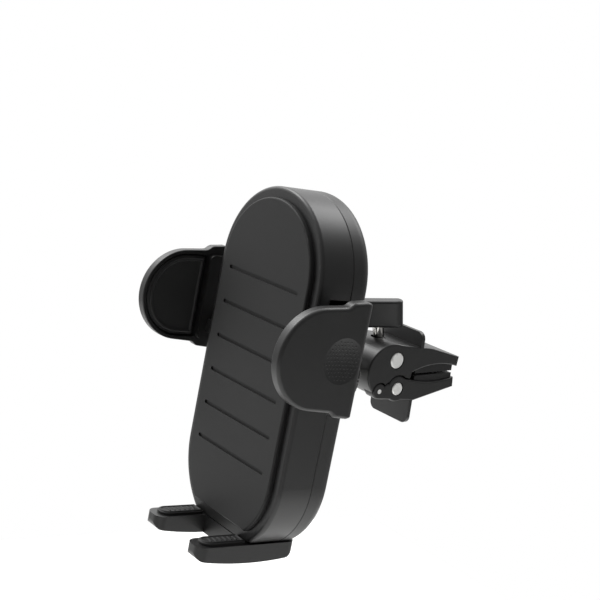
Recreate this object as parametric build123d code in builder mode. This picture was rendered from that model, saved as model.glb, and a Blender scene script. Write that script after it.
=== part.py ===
from build123d import *
from math import acos, asin, atan2, cos, degrees, pi, radians, sin, sqrt, tan
import os

# Car phone holder: a cradle with two clamping arms and two feet, carried by a ball joint on a
# clip that bites a vent blade. All sizes are millimetres.
# The origin is the middle of the face that the phone's back rests on. +Z runs up the phone,
# +Y points away from it to the vent, and +X is to the right of someone who looks at the screen.

# Phone that the cradle is set to
phone_width = 71.5

# Cradle shell, a pill shape seen from the front
body_radius = 26.0
body_arc_span = 60.0
seat_above_end = 6.0
frame_depth = 11.9
cover_depth = 7.5
wall = 2.0
cover_edge_radius = 4.0
frame_edge_radius = 1.2
seam_chamfer = 0.25

# Rubber rest pad on the front face
rest_pad_thickness = 2.2
rest_pad_sunk = 0.6
rest_pad_margin = 3.5
rest_rib_count = 6
rest_rib_pitch = 11.0
rest_groove_width = 1.2
rest_groove_depth = 0.5
rest_pad_edge = 0.6

# Clearances
slide_gap = 0.3
bore_gap = 0.05
ball_gap = 0.2
press_gap = 0.01
jaw_gap = 0.4

# Side arms
arm_axis_z = 13.5
arm_thickness = 3.6
arm_height = 34.9
arm_nose_inset = 2.55
arm_nose_radius = arm_height / 2 - arm_nose_inset
arm_nose_front_y = -18.4
arm_nose_y = arm_nose_front_y + arm_nose_radius
arm_rear_y = 12.0
arm_step_y = 3.0
arm_step_inset = 2.05
arm_step_run = 1.6
arm_step_rise = 1.35
arm_corner_radius = 2.6
arm_edge_radius = 1.1
arm_rear_roll = 2.8
arm_pad_thickness = 1.8
arm_pad_pocket = 1.55
arm_pocket_margin = 1.2
arm_pad_margin = 1.8
arm_pad_rear_y = 2.6
arm_pad_rim = 0.9
arm_pad_dish = 0.35
dimple_radius = 6.8
dimple_depth = 0.7
dimple_y = 3.9
gusset_thickness = 1.9
gusset_height = 24.0
bar_front_y = 6.0
bar_thickness = 4.0
bar_depth = 5.1
bar_inner_x = -13.0

# Racks and the pinion that makes the arms move together
gear_module = 1.0
gear_teeth = 12
tooth_addendum = 0.7
tooth_dedendum = 1.0
tooth_backlash = 0.24
pressure_angle = 20.0
gear_axle_radius = 1.25
gear_hub_radius = 2.3
ratchet_pitch = 1.6
ratchet_depth = 0.9
ratchet_teeth = 15

# Flat spiral spring that throws the arms open
spiral_turns = 3.5
spiral_inner_radius = 2.6
spiral_outer_radius = 5.4
spiral_strip = 0.35

# Slots in the shell for the arms
arm_slot_front_y = 5.0
arm_slot_rear_y = 16.4
arm_slot_over_bar = 2.4
arm_slot_under_bar = 0.6

# Plate that keeps the racks and the pinion in place
keeper_thickness = 1.6
keeper_under_axis = 17.4
keeper_over_pawl = 3.0
keeper_screw_inset = 3.5
keeper_side_room = 5.0
keeper_screw_under_axis = 15.0
keeper_screw_over_axis = 17.2
keeper_screw_land = 3.4

# Release button, pawl and its spring
button_radius = 6.0
button_above_foot = 7.2
button_proud = 1.2
button_flange = 1.0
button_stem_width = 6.0
button_travel = 1.6
button_stem_drop = 4.0
stem_tip_gap = 0.4
stem_tip_rise = 0.5
ramp_depth = 4.5
pawl_width = 12.0
pawl_height = 13.2
pawl_spring_radius = 1.9
pawl_spring_wire = 0.45
pawl_spring_length = 10.0
pawl_spring_turns = 6

# Foot carrier
foot_spacing = 24.4
foot_width = 8.0
foot_reach = 16.0
foot_thickness = 5.8
foot_tip_rise = 1.8
foot_rear_rise = 1.1
foot_deepest_y = 4.5
foot_tip_radius = 2.4
foot_rear_radius = 4.2
foot_rear_inset = 1.0
foot_pad_proud = 1.2
foot_pad_inset_side = 1.1
foot_pad_inset_front = 2.3
foot_corner_radius = 3.2
stem_width = 18.0
stem_front_y = 6.0
stem_thickness = 4.0
stem_length = 36.0
stem_notch_pitch = 3.0
stem_notch_radius = 0.7
stem_notch_count = 9

# Shell screws
screw_radius = 1.0
screw_head_radius = 2.0
screw_head_height = 1.2
screw_boss_radius = 3.0
cover_screw_angle = 39.2

# Ball joint
ball_behind_cover = 10.0
ball_radius = 7.5
neck_radius = 3.6
liner_wall = 1.3
liner_mouth_angle = 55.0
socket_wall = 1.8
socket_mouth = 3.2
socket_stub_radius = 8.0
socket_slit_count = 4
socket_slit_width = 1.2
socket_slit_depth = 6.0
ring_wall = 1.8
ring_front = -6.5
ring_lip = 0.9
ring_lip_radius = 9.4
ring_flute_count = 20
ring_flute_radius = 0.75
washer_radius = 10.5
washer_thickness = 1.5
socket_screw_head_radius = 2.8
socket_screw_head_height = 1.8
socket_screw_radius = 1.3
socket_screw_length = 2.2

# Vent clip, drawn from the side in its own axes: first along the clip from the ball's centre,
# then up. The cradle leans back against the clip by clip_lean degrees.
clip_lean = 5.0
clip_width = 19.5
barrel_centre = (19.4, 0.6)
barrel_radius = 9.35
upper_dowel_centre = (21.45, 4.25)
upper_dowel_radius = 2.6
lower_dowel_centre = (23.2, -5.44)
lower_dowel_radius = 2.1
hinge_centre = (15.65, -5.78)
hinge_pin_radius = 0.75
dowel_proud = 0.1
bore_relief = 0.3
side_edge_radius = 0.5
stud_end = 16.0
tail_boss_radius = 2.6
lug_width = 10.4
lug_radius = 4.2
lower_boss_radius = 4.3
ear_front = 20.3
plate_thickness = 1.3
plate_corner_radius = 2.5
upper_plate_front = 31.0
upper_plate_top = 13.0
lower_plate_front = 29.2
lower_plate_bottom = -18.15
lower_plate_taper = 0.3

# Jaw tips and the mouth between them
upper_tip = (49.0, 3.95)
upper_tip_inside = (48.5, 0.6)
upper_mouth_middle = (39.2, 1.85)
upper_mouth_back = (29.5, 0.05)
upper_throat = (26.6, -1.0)
upper_throat_end = (23.0, -2.5)
upper_shoulder = (28.7, 8.5)
upper_knee = (36.0, 7.6)
lower_tip = (47.9, -6.45)
lower_tip_inside = (47.6, -3.05)
lower_mouth_middle = (37.8, -4.05)
lower_mouth_back = (29.0, -2.9)
lower_throat = (25.4, -2.0)
ear_top = (18.9, -3.3)
lower_belly_rear_z = -9.75
lower_belly_front_z = -10.1
barrel_flat = (1.5, -0.3)
mouth_middle_z = -1.25
liner_slit = 0.8
jaw_pad_start = 30.5
jaw_pad_end = 46.8
jaw_pad_side_inset = 0.7
jaw_rib_pitch = 1.6
jaw_rib_depth = 0.4
jaw_rib_side_inset = 1.2
jaw_rib_count = 9

# Clamping screw and thumb knob, along the line through the two dowels
clamp_shank_radius = 1.25
clamp_thread_gap = 0.12
post_radius = 1.85
post_seat = 2.0
shank_past_nut = 3.1
retaining_ring_radius = 2.3
retaining_ring_thickness = 0.7
knob_bottom = 9.25
knob_height = 9.1
knob_length = 16.1
knob_thickness = 4.4
knob_turn = 49.0
knob_edge_radius = 0.8

# Places that follow from the sizes above
rest_face_y = rest_pad_thickness - rest_pad_sunk
phone_seat_z = seat_above_end - body_arc_span / 2 - body_radius
seam_y = rest_face_y + frame_depth
back_y = seam_y + cover_depth
ball_y = back_y + ball_behind_cover
inner_front_y = rest_face_y + wall
inner_back_y = back_y - wall
arc_centre_z = body_arc_span / 2
cover_screw_reach = body_radius - 2 * wall - screw_head_radius
cover_screw_x = cover_screw_reach * cos(radians(cover_screw_angle))
cover_screw_z = arc_centre_z + cover_screw_reach * sin(radians(cover_screw_angle))
foot_top_z = phone_seat_z - foot_pad_proud
foot_bottom_z = foot_top_z - foot_thickness
frame_bottom_z = foot_top_z + slide_gap
rest_pad_low_z = frame_bottom_z + rest_pad_margin
bar_back_y = bar_front_y + bar_thickness
pitch_radius = gear_module * gear_teeth / 2
pitch_line_z = arm_axis_z + pitch_radius
bar_root_z = pitch_line_z + tooth_dedendum
bar_top_z = bar_root_z + bar_depth
pawl_foot_z = bar_top_z + slide_gap
pawl_top_z = pawl_foot_z + pawl_height
button_z = pawl_foot_z + button_above_foot
arm_face_x = phone_width / 2 + arm_pad_thickness - arm_pad_pocket
arm_outer_x = arm_face_x + arm_thickness
clip_half = clip_width / 2
keeper_half_width = body_radius - wall - keeper_side_room
keeper_screw_x = keeper_half_width - keeper_screw_inset
keeper_front_y = bar_back_y + slide_gap
keeper_screw_z = (arm_axis_z - keeper_screw_under_axis, arm_axis_z + keeper_screw_over_axis)
keeper_low_z = arm_axis_z - keeper_under_axis
keeper_shelf_z = keeper_screw_z[1] + keeper_screw_land
keeper_high_z = pawl_top_z + keeper_over_pawl
liner_inner = ball_radius + ball_gap
liner_outer = liner_inner + liner_wall
socket_inner = liner_outer + ball_gap
socket_outer = socket_inner + socket_wall
socket_front = inner_back_y - slide_gap - ball_y
socket_step = back_y + slide_gap - ball_y
ring_inner = socket_outer + 2 * bore_gap
ring_outer = ring_inner + ring_wall
ring_back = socket_mouth + bore_gap + ring_lip
washer_back_y = inner_back_y - slide_gap
washer_front_y = washer_back_y - washer_thickness


def front_plane(y):
    """Plane across the cradle at depth y: X to the right, Z up, facing the phone."""
    return Plane(origin=(0, y, 0), x_dir=(1, 0, 0), z_dir=(0, -1, 0))


def side_plane(x):
    """Plane at distance x from the middle: Y to the right, Z up, facing +X."""
    return Plane(origin=(x, 0, 0), x_dir=(0, 1, 0), z_dir=(1, 0, 0))


lean = radians(clip_lean)
ball_centre = Vector(0, ball_y, 0)
clip_along = Vector(0, cos(lean), sin(lean))
clip_up = Vector(0, -sin(lean), cos(lean))
clip_side = Plane(origin=ball_centre, x_dir=clip_along, z_dir=(1, 0, 0))
turning = Plane(origin=ball_centre, x_dir=(0, 1, 0), z_dir=(0, 0, -1))
swivel_axis = Axis(ball_centre, (0, 1, 0))
clip_turning = Plane(origin=ball_centre, x_dir=clip_along, z_dir=(0, sin(lean), -cos(lean)))
clip_axis = Axis(ball_centre, clip_along)


def clip_point(spot, x=0.0):
    """Place in the cradle's axes of a spot drawn on the clip's side."""
    return ball_centre + clip_along * spot[0] + clip_up * spot[1] + Vector(x, 0, 0)


screw_up = (clip_point(upper_dowel_centre) - clip_point(lower_dowel_centre)).normalized()
dowel_distance = (clip_point(upper_dowel_centre) - clip_point(lower_dowel_centre)).length
screw_plane = Plane(origin=clip_point(upper_dowel_centre), x_dir=(1, 0, 0), z_dir=screw_up)


# Front frame: a tray open at the back
with BuildPart() as front_frame:
    with BuildSketch(front_plane(seam_y)):
        SlotCenterToCenter(body_arc_span, 2 * body_radius, rotation=90)
    extrude(amount=frame_depth)
    fillet(front_frame.faces().sort_by(Axis.Y)[0].outer_wire().edges(), radius=frame_edge_radius)
    chamfer(front_frame.faces().sort_by(Axis.Y)[-1].outer_wire().edges(), length=seam_chamfer)
    with BuildSketch(front_plane(seam_y)):
        SlotCenterToCenter(body_arc_span, 2 * (body_radius - wall), rotation=90)
    extrude(amount=frame_depth - wall, mode=Mode.SUBTRACT)
    with BuildSketch(front_plane(rest_face_y + rest_pad_sunk)):
        SlotCenterToCenter(body_arc_span, 2 * (body_radius - rest_pad_margin), rotation=90)
        with Locations((0, rest_pad_low_z)):
            Rectangle(3 * body_radius, body_radius, align=(Align.CENTER, Align.MAX), mode=Mode.SUBTRACT)
    extrude(amount=rest_pad_sunk, mode=Mode.SUBTRACT)
    # Flat bottom wall above the foot carrier
    with BuildSketch(front_plane(seam_y)):
        with Locations((0, frame_bottom_z)):
            Rectangle(3 * body_radius, 2 * body_radius, align=(Align.CENTER, Align.MAX))
    extrude(amount=frame_depth, mode=Mode.SUBTRACT)
    bottom_half_width = sqrt((body_radius - wall / 2) ** 2 - (arc_centre_z + frame_bottom_z) ** 2)
    with BuildSketch(front_plane(seam_y)):
        with Locations((0, frame_bottom_z)):
            Rectangle(2 * bottom_half_width, wall, align=(Align.CENTER, Align.MIN))
    extrude(amount=frame_depth - wall)
    # Guide ribs and the slot for the carrier's stem
    with BuildSketch(front_plane(seam_y - wall / 2)):
        for side in (-1, 1):
            with Locations((side * (stem_width / 2 + slide_gap + wall / 2), frame_bottom_z)):
                Rectangle(wall, stem_length + wall, align=(Align.CENTER, Align.MIN))
    extrude(amount=seam_y - wall / 2 - inner_front_y)
    with BuildSketch(front_plane(stem_front_y + stem_thickness + slide_gap)):
        with Locations((0, frame_bottom_z)):
            Rectangle(stem_width + 2 * slide_gap, 3 * wall)
    extrude(amount=stem_thickness + 2 * slide_gap, mode=Mode.SUBTRACT)
    # Bosses for the cover screws
    with BuildSketch(front_plane(seam_y)):
        with GridLocations(2 * cover_screw_x, 2 * cover_screw_z, 2, 2):
            Circle(screw_boss_radius)
    extrude(amount=seam_y - inner_front_y)
    with BuildSketch(front_plane(seam_y)):
        with GridLocations(2 * cover_screw_x, 2 * cover_screw_z, 2, 2):
            Circle(screw_radius + bore_gap)
    extrude(amount=frame_depth - 2 * wall, mode=Mode.SUBTRACT)
    # Posts for the keeper plate
    with BuildSketch(front_plane(keeper_front_y)):
        for spot_x in (-keeper_screw_x, keeper_screw_x):
            for spot_z in keeper_screw_z:
                with Locations((spot_x, spot_z)):
                    Circle(screw_boss_radius - 0.4)
    extrude(amount=keeper_front_y - inner_front_y)
    with BuildSketch(front_plane(keeper_front_y)):
        for spot_x in (-keeper_screw_x, keeper_screw_x):
            for spot_z in keeper_screw_z:
                with Locations((spot_x, spot_z)):
                    Circle(screw_radius + bore_gap)
    extrude(amount=keeper_front_y - inner_front_y - wall / 2, mode=Mode.SUBTRACT)
    # Ribs that guide the pawl, the seat of its spring and the boss of the gear axle
    with BuildSketch(front_plane(bar_back_y)):
        for side in (-1, 1):
            with Locations((side * (pawl_width / 2 + slide_gap + wall / 2), pawl_foot_z + wall)):
                Rectangle(wall, pawl_top_z - pawl_foot_z - wall, align=(Align.CENTER, Align.MIN))
        with Locations((0, pawl_top_z + pawl_spring_length)):
            Rectangle(4 * pawl_spring_radius, wall, align=(Align.CENTER, Align.MIN))
    extrude(amount=bar_back_y - inner_front_y)
    with BuildSketch(front_plane(bar_front_y)):
        with Locations((0, pawl_foot_z + 2 * wall)):
            Rectangle(pawl_width / 2, pawl_top_z - pawl_foot_z - 2 * wall, align=(Align.CENTER, Align.MIN))
    extrude(amount=bar_front_y - inner_front_y)
    with BuildSketch(front_plane(bar_front_y - slide_gap)):
        with Locations((spiral_outer_radius + spiral_strip + wall / 2, arm_axis_z)):
            Circle(wall / 2)
    extrude(amount=bar_front_y - slide_gap - inner_front_y)
    with BuildSketch(front_plane(rest_face_y + rest_pad_sunk + wall / 4)):
        with Locations((0, arm_axis_z)):
            Circle(gear_axle_radius + bore_gap)
    extrude(amount=-wall, mode=Mode.SUBTRACT)

arm_slot_low = pitch_line_z - tooth_addendum - arm_slot_under_bar
arm_slot_high = bar_top_z + arm_slot_over_bar


arm_slot_centre = (arm_slot_low + arm_slot_high) / 2
arm_slot_size = (arm_slot_rear_y - arm_slot_front_y, arm_slot_high - arm_slot_low)
arm_slot_y = (arm_slot_front_y + arm_slot_rear_y) / 2

# The two slots are a half turn apart about the pinion
with front_frame:
    for side in (-1, 1):
        with BuildSketch(side_plane(side * (body_radius + wall))):
            with Locations((arm_slot_y, arm_axis_z + side * (arm_slot_centre - arm_axis_z))):
                RectangleRounded(arm_slot_size[0], arm_slot_size[1], 1.5)
        extrude(amount=-side * 3 * wall, mode=Mode.SUBTRACT)
front_frame.part.label = "front_frame"

# Rear cover: the back shell with the swivel hole and the button hole
with BuildPart() as rear_cover:
    with BuildSketch(front_plane(back_y)):
        SlotCenterToCenter(body_arc_span, 2 * body_radius, rotation=90)
    extrude(amount=cover_depth)
    fillet(rear_cover.faces().sort_by(Axis.Y)[-1].outer_wire().edges(), radius=cover_edge_radius)
    chamfer(rear_cover.faces().sort_by(Axis.Y)[0].outer_wire().edges(), length=seam_chamfer)
    with BuildSketch(front_plane(inner_back_y)):
        SlotCenterToCenter(body_arc_span, 2 * (body_radius - wall), rotation=90)
    extrude(amount=cover_depth - wall, mode=Mode.SUBTRACT)
    # Flat bottom wall above the foot carrier
    with BuildSketch(front_plane(back_y)):
        with Locations((0, frame_bottom_z)):
            Rectangle(3 * body_radius, 2 * body_radius, align=(Align.CENTER, Align.MAX))
    extrude(amount=cover_depth, mode=Mode.SUBTRACT)
    with BuildSketch(front_plane(inner_back_y + wall / 2)):
        with Locations((0, frame_bottom_z)):
            Rectangle(2 * bottom_half_width - cover_edge_radius, wall, align=(Align.CENTER, Align.MIN))
    extrude(amount=inner_back_y + wall / 2 - seam_y)
    with BuildSketch(front_plane(inner_back_y)):
        with GridLocations(2 * cover_screw_x, 2 * cover_screw_z, 2, 2):
            Circle(screw_boss_radius)
    extrude(amount=inner_back_y - seam_y)
    with BuildSketch(front_plane(back_y)):
        with GridLocations(2 * cover_screw_x, 2 * cover_screw_z, 2, 2):
            Circle(screw_radius + 4 * bore_gap)
        Circle(socket_stub_radius + 2 * bore_gap)
        with Locations((0, button_z)):
            Circle(button_radius + slide_gap)
    extrude(amount=cover_depth, mode=Mode.SUBTRACT)
    with BuildSketch(front_plane(back_y)):
        with GridLocations(2 * cover_screw_x, 2 * cover_screw_z, 2, 2):
            Circle(screw_head_radius + 2 * bore_gap)
    extrude(amount=screw_head_height + bore_gap, mode=Mode.SUBTRACT)
    for side in (-1, 1):
        with BuildSketch(side_plane(side * (body_radius + wall))):
            with Locations((arm_slot_y, arm_axis_z + side * (arm_slot_centre - arm_axis_z))):
                RectangleRounded(arm_slot_size[0], arm_slot_size[1], 1.5)
        extrude(amount=-side * 3 * wall, mode=Mode.SUBTRACT)
rear_cover.part.label = "rear_cover"

# Rest pad: rubber, with shallow cross grooves
with BuildPart() as rest_pad:
    with BuildSketch(front_plane(rest_pad_thickness)):
        SlotCenterToCenter(body_arc_span, 2 * (body_radius - rest_pad_margin - bore_gap), rotation=90)
        with Locations((0, rest_pad_low_z + bore_gap)):
            Rectangle(3 * body_radius, body_radius, align=(Align.CENTER, Align.MAX), mode=Mode.SUBTRACT)
    extrude(amount=rest_pad_thickness)
    fillet(rest_pad.faces().sort_by(Axis.Y)[0].outer_wire().edges(), radius=rest_pad_edge)
    with BuildSketch(front_plane(rest_groove_depth)):
        with GridLocations(0, rest_rib_pitch, 1, rest_rib_count):
            SlotOverall(1.4 * body_radius, rest_groove_width)
    extrude(amount=rest_groove_depth, mode=Mode.SUBTRACT)
rest_pad.part.label = "rest_pad"

# Cover screws, pan heads sunk in the rear cover
cover_screw_end_y = inner_front_y + 2 * wall
with BuildPart() as cover_screws:
    with BuildSketch(front_plane(back_y - bore_gap)):
        with GridLocations(2 * cover_screw_x, 2 * cover_screw_z, 2, 2):
            Circle(screw_head_radius)
    extrude(amount=screw_head_height - bore_gap)
    with BuildSketch(front_plane(back_y - screw_head_height)):
        with GridLocations(2 * cover_screw_x, 2 * cover_screw_z, 2, 2):
            Circle(screw_radius)
    extrude(amount=back_y - screw_head_height - cover_screw_end_y)
cover_screws.part.label = "cover_screws"

# Keeper plate behind the racks, with a window for the button's stem
with BuildPart() as keeper_plate:
    with BuildSketch(front_plane(keeper_front_y + keeper_thickness)):
        with Locations((0, (keeper_low_z + keeper_shelf_z) / 2)):
            RectangleRounded(2 * keeper_half_width, keeper_shelf_z - keeper_low_z, wall)
        with Locations((0, keeper_high_z)):
            Rectangle(pawl_width + 2 * wall, keeper_high_z - arm_axis_z, align=(Align.CENTER, Align.MAX))
        with Locations((0, keeper_high_z - wall)):
            Rectangle(button_stem_width + 4 * slide_gap, keeper_high_z - wall - bar_top_z - wall,
                      align=(Align.CENTER, Align.MAX), mode=Mode.SUBTRACT)
        with Locations((0, arm_axis_z)):
            Circle(gear_axle_radius + bore_gap, mode=Mode.SUBTRACT)
        for spot_x in (-keeper_screw_x, keeper_screw_x):
            for spot_z in keeper_screw_z:
                with Locations((spot_x, spot_z)):
                    Circle(screw_radius + 4 * bore_gap, mode=Mode.SUBTRACT)
    extrude(amount=keeper_thickness)
keeper_plate.part.label = "keeper_plate"

with BuildPart() as keeper_screws:
    with BuildSketch(front_plane(keeper_front_y + keeper_thickness + screw_head_height)):
        for spot_x in (-keeper_screw_x, keeper_screw_x):
            for spot_z in keeper_screw_z:
                with Locations((spot_x, spot_z)):
                    Circle(screw_head_radius)
    extrude(amount=screw_head_height)
    with BuildSketch(front_plane(keeper_front_y + keeper_thickness)):
        for spot_x in (-keeper_screw_x, keeper_screw_x):
            for spot_z in keeper_screw_z:
                with Locations((spot_x, spot_z)):
                    Circle(screw_radius)
    extrude(amount=keeper_front_y + keeper_thickness - inner_front_y - wall)
keeper_screws.part.label = "keeper_screws"

# Gear axle: a steel pin from the front wall to the keeper plate
axle_front_y = rest_face_y + rest_pad_sunk + wall / 4
with BuildPart() as gear_axle:
    with BuildSketch(front_plane(keeper_front_y + keeper_thickness)):
        with Locations((0, arm_axis_z)):
            Circle(gear_axle_radius)
    extrude(amount=keeper_front_y + keeper_thickness - axle_front_y)
gear_axle.part.label = "gear_axle"

# Pinion with involute teeth
base_radius = pitch_radius * cos(radians(pressure_angle))
tip_radius = pitch_radius + tooth_addendum
root_radius = pitch_radius - tooth_dedendum
flank_steps = 4


def involute(radius):
    """Polar angle that an involute has turned through when it reaches radius."""
    unwound = acos(base_radius / radius)
    return tan(unwound) - unwound


tooth_half_angle = (pi * gear_module / 2 - tooth_backlash) / (2 * pitch_radius)
flank_start = tooth_half_angle + involute(pitch_radius)


def flank_point(radius, side):
    """Point on a tooth's flank; the tooth points up."""
    turned = flank_start - (involute(radius) if radius > base_radius else 0)
    return (side * radius * sin(turned), radius * cos(turned))


with BuildSketch() as gear_tooth:
    with BuildLine():
        radii = [base_radius + (tip_radius - base_radius) * step / flank_steps
                 for step in range(flank_steps + 1)]
        Spline(*[flank_point(radius, 1) for radius in radii])
        Line(flank_point(tip_radius, 1), flank_point(tip_radius, -1))
        Spline(*[flank_point(radius, -1) for radius in reversed(radii)])
        Polyline(flank_point(base_radius, -1), flank_point(root_radius - 0.3, -1),
                 flank_point(root_radius - 0.3, 1), flank_point(base_radius, 1))
    make_face()

with BuildPart() as sync_gear:
    with BuildSketch(front_plane(bar_back_y)):
        with Locations((0, arm_axis_z)):
            Circle(root_radius)
        for index in range(gear_teeth):
            turned_tooth = gear_tooth.sketch.rotate(Axis.Z, index * 360 / gear_teeth)
            add(turned_tooth.moved(Location((0, arm_axis_z, 0))))
    extrude(amount=bar_thickness)
    with BuildSketch(front_plane(bar_front_y)):
        with Locations((0, arm_axis_z)):
            Circle(gear_hub_radius)
    extrude(amount=bar_front_y - inner_front_y - slide_gap)
    with BuildSketch(front_plane(bar_back_y)):
        with Locations((0, arm_axis_z)):
            Circle(gear_axle_radius + bore_gap)
    extrude(amount=bar_back_y - inner_front_y, mode=Mode.SUBTRACT)
sync_gear.part.label = "sync_gear"

# Spiral spring round the pinion's hub
spiral_growth = (spiral_outer_radius - spiral_inner_radius) / (2 * pi * spiral_turns)


def spiral_point(turn, shift):
    """Point on the spiral strip's inner or outer face after a number of turns."""
    angle = 2 * pi * turn
    radius = spiral_inner_radius + spiral_growth * angle + shift
    return (radius * cos(angle), radius * sin(angle))


spiral_samples = [step * spiral_turns / 28 for step in range(29)]
with BuildPart() as return_spring:
    with BuildSketch(front_plane(bar_front_y - slide_gap)):
        with Locations((0, arm_axis_z)):
            with BuildLine():
                Spline(*[spiral_point(turn, 0) for turn in spiral_samples])
                Line(spiral_point(spiral_turns, 0), spiral_point(spiral_turns, spiral_strip))
                Spline(*[spiral_point(turn, spiral_strip) for turn in reversed(spiral_samples)])
                Line(spiral_point(0, spiral_strip), spiral_point(0, 0))
            make_face()
    extrude(amount=bar_front_y - slide_gap - inner_front_y)
return_spring.part.label = "return_spring"


def arm_outline():
    """Arm plate seen from the side: a round nose that fans out, with a small step before its rear."""
    step_half = arm_height / 2 - arm_step_inset
    reach = sqrt((arm_step_y - arm_nose_y) ** 2 + step_half ** 2)
    tangent = atan2(step_half, arm_step_y - arm_nose_y) + acos(arm_nose_radius / reach)
    touch_y = arm_nose_y + arm_nose_radius * cos(tangent)
    touch_z = arm_nose_radius * sin(tangent)
    upper = [(touch_y, touch_z), (arm_step_y, step_half),
             (arm_step_y + arm_step_run, step_half + arm_step_rise), (arm_rear_y, arm_height / 2)]
    with BuildSketch() as outline:
        with BuildLine():
            Polyline(upper + [(spot[0], -spot[1]) for spot in reversed(upper)])
            ThreePointArc((touch_y, touch_z), (arm_nose_y - arm_nose_radius, 0), (touch_y, -touch_z))
        make_face()
        fillet(outline.vertices().group_by(Axis.X)[-1], radius=arm_corner_radius)
        fillet(outline.vertices().group_by(Axis.X)[2], radius=arm_corner_radius)
        fillet(outline.vertices().group_by(Axis.X)[1], radius=arm_corner_radius)
    return outline.sketch.moved(Location((0, arm_axis_z, 0)))


def nose_outline(inset, rear_y):
    """Round nose of the arm, drawn in by inset and cut straight at rear_y."""
    with BuildSketch() as outline:
        with Locations((arm_nose_y, 0)):
            Circle(arm_nose_radius - inset)
            Rectangle(rear_y - arm_nose_y, 2 * (arm_nose_radius - inset), align=(Align.MIN, Align.CENTER))
        with Locations((rear_y, 0)):
            Rectangle(arm_height, arm_height, align=(Align.MIN, Align.CENTER), mode=Mode.SUBTRACT)
    return outline.sketch.moved(Location((0, arm_axis_z, 0)))


arm_face_outline = arm_outline()
pocket_rear_y = arm_pad_rear_y + arm_pad_margin - arm_pocket_margin
arm_pocket_outline = nose_outline(arm_pocket_margin, pocket_rear_y)
arm_pad_outline = nose_outline(arm_pad_margin, arm_pad_rear_y)
arm_dish_outline = nose_outline(arm_pad_margin + arm_pad_rim, arm_pad_rear_y - arm_pad_rim)
rack_half = (pi * gear_module / 2 - tooth_backlash) / 2
flank_run = tan(radians(pressure_angle))

# Right arm: plate, gusset and the bar with rack teeth below and ratchet teeth above
with BuildPart() as right_arm:
    with BuildSketch(side_plane(arm_face_x)):
        add(arm_face_outline)
    extrude(amount=arm_thickness)
    fillet(right_arm.faces().sort_by(Axis.X)[-1].outer_wire().edges(), radius=arm_edge_radius)
    fillet(right_arm.faces().sort_by(Axis.X)[0].outer_wire().edges(), radius=arm_edge_radius / 3)
    # Wide roll at the rear of the outer face
    with BuildSketch(Plane.XY.offset(arm_axis_z - arm_height)):
        with Locations((arm_outer_x, arm_rear_y)):
            Rectangle(arm_rear_roll, arm_rear_roll, align=(Align.MAX, Align.MAX))
        with Locations((arm_outer_x - arm_rear_roll, arm_rear_y - arm_rear_roll)):
            Circle(arm_rear_roll, mode=Mode.SUBTRACT)
    extrude(amount=2 * arm_height, mode=Mode.SUBTRACT)
    with BuildSketch(side_plane(arm_face_x + arm_pad_pocket)):
        add(arm_pocket_outline)
    extrude(amount=-arm_pad_pocket, mode=Mode.SUBTRACT)
    dish_radius = (dimple_radius ** 2 + dimple_depth ** 2) / (2 * dimple_depth)
    with Locations((arm_outer_x + dish_radius - dimple_depth, dimple_y, arm_axis_z)):
        Sphere(dish_radius, mode=Mode.SUBTRACT)
    # Bar
    with BuildSketch(front_plane(bar_back_y)):
        with Locations((bar_inner_x, bar_root_z)):
            Rectangle(arm_face_x - bar_inner_x, bar_depth - ratchet_depth,
                      align=(Align.MIN, Align.MIN))
        for step in range(-4, 4):
            with BuildLine():
                middle = (step + 0.5) * pi * gear_module
                tip = rack_half - tooth_addendum * flank_run
                foot = rack_half + (tooth_dedendum + 0.1) * flank_run
                Polyline((middle - tip, pitch_line_z - tooth_addendum),
                         (middle + tip, pitch_line_z - tooth_addendum),
                         (middle + foot, bar_root_z + 0.1), (middle - foot, bar_root_z + 0.1),
                         close=True)
            make_face()
        for step in range(ratchet_teeth):
            with BuildLine():
                left = (step - (ratchet_teeth + 1) / 2) * ratchet_pitch
                right = left + ratchet_pitch
                root = bar_top_z - ratchet_depth
                Polyline((left, root - 0.1), (right, root - 0.1), (right, bar_top_z),
                         (right - 0.2 * ratchet_pitch, bar_top_z), (left, root), close=True)
            make_face()
    extrude(amount=bar_thickness)
    with BuildSketch(side_plane(arm_face_x)):
        with Locations(((pocket_rear_y + arm_rear_y) / 2, arm_axis_z)):
            RectangleRounded(arm_rear_y - pocket_rear_y, gusset_height + 2 * wall, wall)
    extrude(amount=-gusset_thickness)
right_arm.part.label = "right_arm"

with BuildPart() as right_arm_pad:
    with BuildSketch(side_plane(phone_width / 2)):
        add(arm_pad_outline)
    extrude(amount=arm_pad_thickness)
    fillet(right_arm_pad.faces().sort_by(Axis.X)[0].outer_wire().edges(), radius=arm_pad_rim / 2)
    with BuildSketch(side_plane(phone_width / 2)):
        add(arm_dish_outline)
    extrude(amount=arm_pad_dish, mode=Mode.SUBTRACT)
right_arm_pad.part.label = "right_arm_pad"

# The left arm and its pad are the same mouldings turned half round the pinion's axis
pinion_axis = Axis((0, 0, arm_axis_z), (0, 1, 0))
with BuildPart() as left_arm:
    add(right_arm.part.rotate(pinion_axis, 180))
left_arm.part.label = "left_arm"

with BuildPart() as left_arm_pad:
    add(right_arm_pad.part.rotate(pinion_axis, 180))
left_arm_pad.part.label = "left_arm_pad"

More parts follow.
